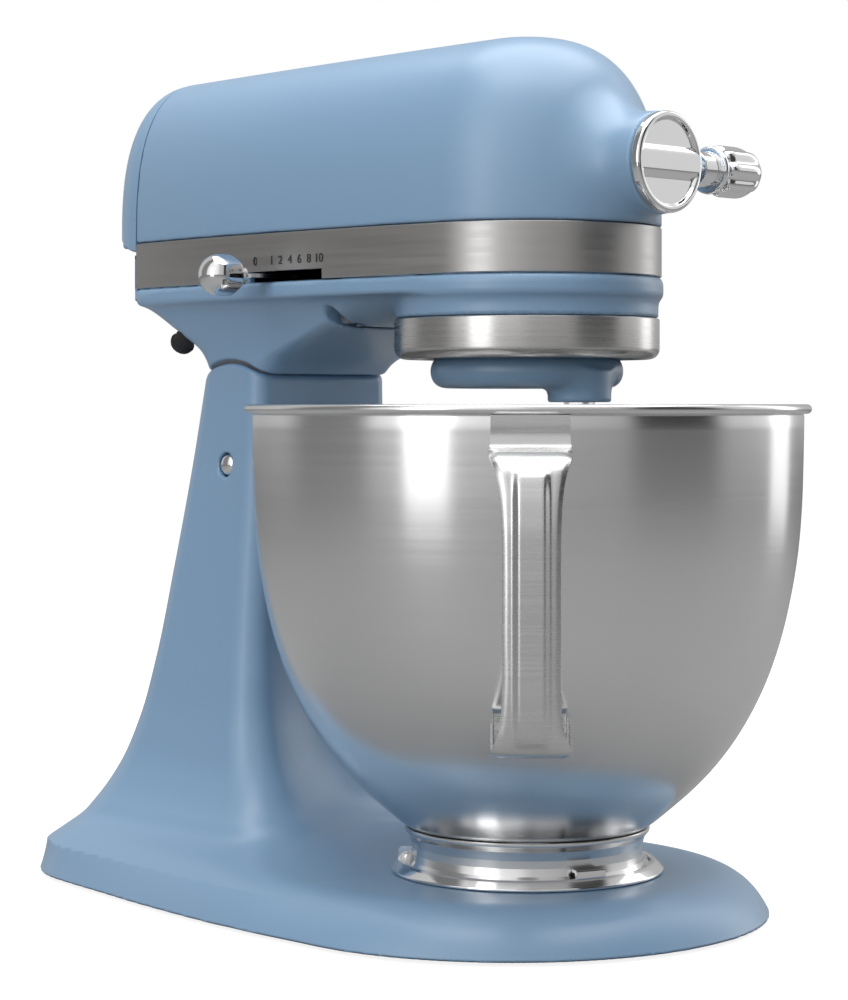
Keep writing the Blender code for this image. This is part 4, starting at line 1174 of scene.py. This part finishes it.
# ---- drive ---------------------------------------------------------------------------------
@dataclass
class Planetary:
    """Planetary housing, the beater's shaft and the beater."""

    radius: float = 0.0395
    boss_radius: float = 0.0128
    centre_bore: float = 0.0064
    shaft_bore: float = 0.0066
    hub_bore: float = 0.0067
    pin_bore: float = 0.0020
    beater_half: float = 0.0042

    def housing(self, p: np.ndarray) -> np.ndarray:
        """Field of the housing with the shaft's boss.

        Args:
            p: Points, x, y and z along their last axis.

        Returns:
            The field there.
        """
        shaft = middle("beater_shaft")
        low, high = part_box("planetary_housing")
        away = np.hypot(p[..., 0], p[..., 1] - BOWL_Y)
        off = np.hypot(p[..., 0], p[..., 1] - shaft.y)
        z = p[..., 2]
        drum = meet(away - self.radius + 0.0006, np.maximum(0.2131 - z, z - high[2]), 0.0075)
        boss = meet(off - self.boss_radius + 0.0002, slab(z, low[2], 0.2200), 0.0012)
        drum = join(drum, boss, 0.0035)
        return cut(cut(drum, off - self.shaft_bore), away - self.centre_bore)

    def build(self) -> None:
        """Make the housing and the beater, and dress the shafts."""
        margins = (0.002, 0.002)
        drum = boxed_piece("planetary_drum", self.housing, "planetary_housing", 0.0011, margins)
        fit(drum, Look.PAINT, "planetary", "body_paint", "planetary_housing")
        beater = boxed_piece("flat_beater_cast", self.beater, "flat_beater", 0.0013, margins)
        fit(beater, Look.BEATER, "beater", "beater_alloy", "flat_beater")
        dress_nodes({
            Look.CHROME: ("beater_shaft", "beater_pin"),
            Look.GEAR: ("beater_pinion", "centre_shaft"),
        })

    def beater(self, p: np.ndarray) -> np.ndarray:
        """Field of the flat beater: a rim, a spine and slanting bars round a hub.

        Args:
            p: Points, x, y and z along their last axis.

        Returns:
            The field there.
        """
        shaft = middle("beater_shaft")
        x, y, z = np.abs(p[..., 0]), p[..., 1] - shaft.y, p[..., 2]
        low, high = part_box("flat_beater")
        edge = flow(z, (0.045, 0.049, 0.060, 0.082, 0.110, 0.145, 0.164, 0.180, 0.186),
                    (0.012, 0.0240, 0.0400, 0.0520, 0.0580, 0.0590, 0.0520, 0.0260, 0.0080))
        rim = np.maximum(x - edge, slab(z, low[2], 0.1850)) * 0.8
        hollow = rim + 0.0085
        spine = x - 0.0050
        bars = [np.abs((z - height) - (x - 0.004) * tilt) * 0.95 - 0.0046
                for height, tilt in ((0.0830, 0.32), (0.1250, 0.31))]
        frame_bars = join(join(spine, bars[0], 0.006), bars[1], 0.006)
        flat = meet(rim, join(-hollow, frame_bars, 0.006), 0.003)
        plate = meet(flat, np.abs(y) - self.beater_half + 0.0003, 0.0045)
        reach = np.hypot(x, y)
        hub = meet(reach - 0.0107, slab(z, 0.1775, high[2]), 0.0015)
        body = join(plate, hub, 0.005)
        body = cut(body, np.maximum(reach - self.hub_bore, 0.1745 - z), 0.0006)
        pin = rod(y, z - middle("beater_pin").z, self.pin_bore)
        return cut(body, pin, 0.0005)


@dataclass
class HubFront:
    """Cap of the attachment hub, and the knob that locks an attachment."""

    rim: float = 0.0197
    bar: float = 0.0037
    depth: float = 0.0016
    lobes: int = 8

    def cap(self, p: np.ndarray) -> np.ndarray:
        """Field of the cap: two sunk half-moons with a level bar between them.

        Args:
            p: Points, x, y and z along their last axis.

        Returns:
            The field there.
        """
        low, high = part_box("hub_cap")
        centre = middle("hub_cap")
        x, z = p[..., 0], p[..., 2] - centre.z
        deep = p[..., 1] - low[1]
        reach = np.hypot(x, z)
        back = p[..., 1] - (low[1] + 0.0042)
        disc = meet(meet(reach - self.rim, -deep, 0.0016), back, 0.0012)
        down = np.maximum(deep, 0.0)
        moon = np.maximum(reach - self.rim + 0.0024 + 0.6 * down, (self.bar - np.abs(z) + 1.7 * down) / 1.7)
        pocket = np.maximum(moon, deep - self.depth)
        plug = np.maximum(reach - 0.0129, slab(p[..., 1], low[1] + 0.002, high[1]))
        return np.minimum(cut(disc, pocket, 0.0005), plug)

    def knob(self, p: np.ndarray) -> np.ndarray:
        """Field of the knob: shaft, collar and a fluted body with a domed end.

        Args:
            p: Points, x, y and z along their last axis.

        Returns:
            The field there.
        """
        centre = middle("attachment_knob")
        low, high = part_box("attachment_knob")
        x, y, z = p[..., 0], p[..., 1] - centre.y, p[..., 2] - centre.z
        reach, turn = np.hypot(y, z), np.arctan2(z, y)
        radius = 0.0100 + 0.0009 * np.cos(self.lobes * turn)
        radius = radius - 0.0008 * np.clip((0.0475 - x) / 0.003, 0.0, 1.0)
        end = np.hypot(np.maximum(x - 0.0560, 0.0) * 0.86, reach) - 0.0110
        body = meet(meet(reach - radius, 0.0440 - x, 0.0016), end, 0.0022)
        body = np.maximum(body, x - high[0])
        stem = np.maximum(reach - 0.0072, slab(x, 0.0300, 0.0450))
        collar = meet(reach - 0.0096, slab(x, 0.0395, 0.0425), 0.0016)
        shaft = np.maximum(reach - 0.0038, slab(x, low[0] + 0.0003, 0.0440))
        return np.minimum(np.minimum(body, shaft), np.minimum(stem, collar))

    def build(self) -> None:
        """Make both, each on the body of its own name."""
        for name, shape, node, pitch in (("hub_cap_face", self.cap, "hub_cap", 0.00052),
                                         ("fluted_knob", self.knob, "attachment_knob", 0.00065)):
            piece = boxed_piece(name, shape, node, pitch, (0.001, 0.001))
            fit(piece, Look.CHROME, node, "polished_chrome", node)


@dataclass
class Controls:
    """Speed lever and knob, lock lever and the cord's bush."""

    knob_radius: float = 0.0090

    def knob(self, p: np.ndarray) -> np.ndarray:
        """Field of the speed knob: a six-sided barrel with a domed end, a neck and a collar.

        Args:
            p: Points, x, y and z along their last axis.

        Returns:
            The field there.
        """
        low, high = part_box("speed_knob")
        centre = middle("speed_knob")
        x, y, z = p[..., 0], p[..., 1] - centre.y, p[..., 2] - centre.z
        reach, turn = np.hypot(y, z), np.arctan2(z, y)
        sector = math.pi / 3
        flat = reach * np.cos((turn + sector / 2) % sector - sector / 2)
        across = meet(flat - self.knob_radius * 0.90, reach - self.knob_radius, 0.0012)
        dome = np.sqrt(np.minimum(x - low[0] - self.knob_radius, 0.0) ** 2 + reach ** 2) - self.knob_radius
        barrel = meet(meet(across, dome, 0.0012), x - (high[0] - 0.0062), 0.0014)
        collar = meet(reach - 0.0052, slab(x, high[0] - 0.0062, high[0] - 0.0030), 0.0012)
        neck = np.maximum(reach - 0.0040, slab(x, high[0] - 0.0080, high[0] - 0.0002))
        return np.minimum(np.minimum(barrel, collar), neck)

    def build(self) -> None:
        """Make the knob and dress the small parts."""
        piece = boxed_piece("domed_speed_knob", self.knob, "speed_knob", 0.0005, (0.001, 0.001))
        fit(piece, Look.CHROME, "speed_lever", "polished_chrome", "speed_knob")
        dress_nodes({
            Look.CHROME: ("speed_lever", "lock_knob"),
            Look.GEAR: ("lever_pivot", "speed_link", "lock_shaft"),
            Look.RUBBER: ("cord_bush",),
        })


@dataclass
class Drive:
    """Motor and gear train, in their castings."""

    def build(self) -> None:
        """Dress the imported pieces."""
        dress_nodes({
            Look.IRON: ("field_stator", "armature_core"),
            Look.COPPER: ("commutator",),
            Look.PLASTIC: ("cooling_fan", "speed_plate"),
            Look.GEAR: ("worm_shaft", "drive_pinion", "centre_gear", "centre_bevel", "hub_gear",
                        "ring_gear"),
            Look.BRONZE: ("worm_wheel", "front_bearing", "rear_bearing", "shaft_bearing",
                          "brush_holder_left", "brush_holder_right"),
            Look.CARBON: ("brush_left", "brush_right"),
        })


# ---- bowl ----------------------------------------------------------------------------------
@dataclass
class Bowl:
    """Bowl shell, its foot, handle strap and bracket."""

    wall: float = 0.0009
    rim_radius: float = 0.1140
    bead: float = 0.0019
    side_steps: int = 44
    handle_turn: float = 47.5
    strap: float = 0.0010
    rib_half: float = 0.0073
    rib_rise: float = 0.0026

    def side(self) -> Outline:
        """Outer side of the shell as (radius, height), from the rim down.

        Returns:
            The side's points.
        """
        heights = (0.0375, 0.0392, 0.0450, 0.0570, 0.0690, 0.0813, 0.0934, 0.1115, 0.1300, 0.1480,
                   0.1660, 0.1840, 0.2020)
        radii = (0.0485, 0.0509, 0.0580, 0.0710, 0.0810, 0.0888, 0.0948, 0.1013, 0.1057, 0.1086,
                 0.1101, 0.1107, 0.1110)
        at = np.linspace(1.0, 0.0, self.side_steps) ** 1.35 * (heights[-1] - heights[0]) + heights[0]
        return [(float(r), float(z)) for r, z in zip(flow(at, heights, radii), at)]

    def build(self) -> None:
        """Make the bowl's pieces."""
        centre = Vector((0, BOWL_Y, 0))
        side = self.side()
        bead = self.bead
        top = BOWL_HIGH[2] - bead
        rim = [(self.rim_radius - bead + bead * math.cos(a), top + bead * math.sin(a))
               for a in np.linspace(math.radians(160), math.radians(-150), 16)]
        inner = [(r - self.wall, z + self.wall * 0.7) for r, z in side[::-1]]
        profile = [(0.0, inner[0][1]), *inner, *rim, *side, (0.0, side[-1][1])]
        shell = turned("bowl_drawn_shell", profile, centre, steps=160)
        fit(shell, Look.BOWL, "bowl", "bowl_steel", "bowl_shell")
        foot = [(0.0478, 0.0372), (0.0496, 0.0372), (0.0494, 0.0358), (0.0475, 0.0335), (0.0466, 0.0300),
                (0.0465, 0.0270), (0.0470, 0.0240), (0.0484, 0.0217), (0.0474, 0.0217), (0.0459, 0.0240),
                (0.0453, 0.0290), (0.0462, 0.0340)]
        foot = filleted(foot, 0.0012, closed=True, steps=3)
        ring = turned("bowl_foot_ring", foot, centre, steps=128, ring=True)
        fit(ring, Look.BOWL, "bowl", "bowl_steel", "bowl_foot")
        self.handle()
        self.bracket()

    def handle(self) -> None:
        """Pressed strap with a raised rib down its grip."""
        path = np.array((
            (0.1121, 0.2028, 0.0145), (0.1121, 0.1990, 0.0145), (0.1120, 0.1945, 0.0145),
            (0.1132, 0.1913, 0.0148), (0.1165, 0.1902, 0.0150), (0.1215, 0.1899, 0.0150),
            (0.1275, 0.1892, 0.0148), (0.1325, 0.1868, 0.0139), (0.1358, 0.1825, 0.0126),
            (0.1376, 0.1760, 0.0114), (0.1386, 0.1660, 0.0107), (0.1389, 0.1500, 0.0104),
            (0.1388, 0.1250, 0.0104), (0.1384, 0.1050, 0.0104), (0.1377, 0.0940, 0.0112),
            (0.1364, 0.0870, 0.0128), (0.1338, 0.0824, 0.0144), (0.1290, 0.0808, 0.0146),
            (0.1200, 0.0804, 0.0146), (0.0935, 0.0804, 0.0146),
        ))
        knots = np.concatenate(([0.0], np.cumsum(np.linalg.norm(np.diff(path[:, :2], axis=0), axis=1))))
        at = np.linspace(0.0, knots[-1], 150)
        radius, height, half = (flow(at, knots, path[:, i]) for i in range(3))
        run_r, run_z = np.gradient(radius, at), np.gradient(height, at)
        turn = Matrix.Rotation(-math.radians(self.handle_turn), 4, "Z")
        centre = Vector((0, BOWL_Y, 0))
        across = np.linspace(-1.0, 1.0, 41)
        skins = []
        for inner in (0.0, self.strap):
            rows = []
            for r, z, w, dr, dz in zip(radius, height, half, run_r, run_z):
                grip = np.clip((0.1835 - z) / 0.010, 0.0, 1.0) * np.clip((z - 0.0855) / 0.010, 0.0, 1.0)
                grip = grip * (r > 0.130)
                x = across * w
                rib = np.clip((self.rib_half - np.abs(x)) / 0.0032, 0.0, 1.0)
                lift = self.rib_rise * ease(rib) * grip ** 0.5 - inner
                curl = -0.0012 * np.clip((np.abs(across) - 0.72) / 0.28, 0.0, 1.0) ** 2
                out = lift + curl * (r > 0.118)
                norm = math.hypot(dr, dz)
                rows.append([turn @ Vector((a, -(r - dz / norm * o), z + dr / norm * o)) + centre
                             for a, o in zip(x, out)])
            skins.append(rows)
        rings = [outer + inner[::-1] for outer, inner in zip(*skins)]
        handle = skinned("handle_strap", rings, sharp=50.0)
        fit(handle, Look.HANDLE, "bowl", "polished_chrome", "bowl_handle")

    def bracket(self) -> None:
        """Folded bracket behind the foot of the strap."""
        plan = filleted(((-0.0146, -0.0955), (0.0146, -0.0955), (0.0146, -0.1300), (0.0134, -0.1300),
                         (0.0134, -0.0969), (-0.0134, -0.0969), (-0.0134, -0.1300), (-0.0146, -0.1300)),
                        0.0006, closed=True)
        turn = Matrix.Rotation(-math.radians(self.handle_turn), 4, "Z")
        centre = Vector((0, BOWL_Y, 0))
        rings = [[turn @ Vector((x, y, z)) + centre for x, y in plan] for z in (0.0818, 0.0930)]
        fit(skinned("folded_bracket", rings), Look.HANDLE, "bowl", "polished_chrome", "handle_bracket")


# ---- studio --------------------------------------------------------------------------------
@dataclass
class Softbox:
    """One soft light.

    Attributes:
        turn: Degrees round the object from the camera, to its right.
        height: Height of the middle of the box.
        away: Distance from the object in plan.
        size: Width and height of the box.
        power: Watts.
    """

    turn: float
    height: float
    away: float
    size: tuple[float, float]
    power: float


@dataclass
class Studio:
    """Pale floor, soft lights and the camera."""

    eye: tuple[float, float, float] = (-0.8057, -0.7824, 0.2064)
    heading: float = -46.0
    lens: float = 96.3
    shift: float = -0.095
    boxes: tuple[Softbox, ...] = (
        Softbox(-40.0, 0.62, 1.7, (0.60, 1.3), 4.0),
        Softbox(120.0, 0.62, 1.5, (0.50, 1.4), 2.0),
    )
    overhead: float = 27.0
    glow: float = 0.86
    room: float = 0.98
    walls: tuple[tuple[float, float], ...] = (
        (-180.0, 0.36), (180.0, 0.36), (-150.0, 0.50), (-122.0, 0.60), (-102.0, 0.22), (-76.0, 0.24),
        (-64.0, 1.0), (-38.0, 1.1), (-12.0, 1.0), (4.0, 0.60), (36.0, 0.50), (46.0, 0.05),
        (76.0, 0.05), (90.0, 0.70), (125.0, 1.0), (150.0, 0.50),
    )

    def build(self) -> None:
        """Set up the floor, the world, the lights and the camera."""
        bpy.context.scene.view_settings.view_transform = "Standard"
        self.floor()
        self.world()
        target = Vector((0.0, -0.02, 0.16))
        for i, box in enumerate(self.boxes):
            a = math.radians(90.0 + self.heading + 180.0 + box.turn)
            place = Vector((box.away * math.cos(a), box.away * math.sin(a), box.height))
            self.light(f"softbox_{i + 1}", place, target, box.size, box.power)
        self.light("overhead", Vector((0.1, -0.1, 1.7)), Vector((0.0, 0.0, 0.0)), (1.8, 1.8), self.overhead)
        self.camera()

    def light(self, name: str, place: Vector, target: Vector, size: tuple[float, float],
              power: float) -> None:
        """Add one area light.

        Args:
            name: Its name.
            place: Where it stands.
            target: What it faces.
            size: Width and height.
            power: Watts.
        """
        data = bpy.data.lights.new(name, "AREA")
        data.shape = "RECTANGLE"
        data.size, data.size_y = size
        data.energy = power
        lamp = bpy.data.objects.new(name, data)
        lamp.location = place
        lamp.rotation_euler = (target - place).to_track_quat("-Z", "Y").to_euler()
        bpy.context.scene.collection.objects.link(lamp)

    def floor(self) -> None:
        """Pale matt floor."""
        bm = bmesh.new()
        bmesh.ops.create_grid(bm, x_segments=8, y_segments=8, size=12.0)
        mesh = bpy.data.meshes.new("studio_floor")
        bm.to_mesh(mesh)
        bm.free()
        floor = as_object("studio_floor", mesh)
        finish = Finish("pale_floor", (0.30, 0.30, 0.30), (0.80, 0.90), shade=0.01, scale=60.0, bump=0.0)
        mat = finish.material()
        tree = mat.node_tree
        shader = tree.nodes["Principled BSDF"]
        seen = put(tree, "ShaderNodeLightPath").outputs["Is Camera Ray"]
        glow = put(tree, "ShaderNodeMath", {"operation": "MULTIPLY"}, i0=seen, i1=self.glow)
        feed(tree, shader, Emission_Color=(1.0, 1.0, 1.0, 1.0), Emission_Strength=glow.outputs[0])
        floor.data.materials.append(mat)

    def world(self) -> None:
        """White backdrop for the camera, and for the rest a room with bright and dark walls."""
        world = bpy.data.worlds.new("studio_room")
        world.use_nodes = True
        tree = world.node_tree
        tree.nodes.clear()
        path = put(tree, "ShaderNodeLightPath")
        way = put(tree, "ShaderNodeTexCoord").outputs["Generated"]
        faced = put(tree, "ShaderNodeVectorRotate", {"rotation_type": "Z_AXIS"}, Vector=way,
                    Angle=math.radians(90.0 - self.heading))
        round_room = put(tree, "ShaderNodeTexGradient", {"gradient_type": "RADIAL"},
                         Vector=faced.outputs[0])
        walls = put(tree, "ShaderNodeValToRGB", Fac=round_room.outputs["Fac"])
        ramp = walls.color_ramp
        ramp.interpolation = "EASE"
        for i, (turn, level) in enumerate(self.walls):
            stop = ramp.elements[i] if i < 2 else ramp.elements.new(turn / 360.0 + 0.5)
            stop.position = turn / 360.0 + 0.5
            stop.color = (level, level, level, 1.0)
        room = put(tree, "ShaderNodeBackground", Color=walls.outputs[0], Strength=self.room)
        white = put(tree, "ShaderNodeBackground", Color=(1.0, 1.0, 1.0, 1.0), Strength=1.0)
        both = put(tree, "ShaderNodeMixShader", i0=path.outputs["Is Camera Ray"], i1=room.outputs[0],
                   i2=white.outputs[0])
        put(tree, "ShaderNodeOutputWorld", i0=both.outputs[0])
        bpy.context.scene.world = world

    def camera(self) -> None:
        """Level camera."""
        data = bpy.data.cameras.new("studio_camera")
        data.lens = self.lens
        data.shift_y = self.shift
        camera = bpy.data.objects.new("studio_camera", data)
        camera.location = self.eye
        camera.rotation_euler = (math.pi / 2, 0.0, math.radians(self.heading))
        bpy.context.scene.collection.objects.link(camera)
        bpy.context.scene.camera = camera


def main() -> None:
    """Build the studio and every sub-assembly, in order."""
    logging.basicConfig(level=logging.INFO, format="%(name)s: %(message)s")
    parts = (Studio(), Pedestal(), GearCase(), MotorHousing(), RearCover(), TrimBand(), DripRing(), Drive(),
             Planetary(), HubFront(), Controls(), Bowl())
    for part in parts:
        LOG.info("building %s", type(part).__name__)
        part.build()
    LOG.info("%d pieces", len(BUILT))


if __name__ == "__main__":
    main()
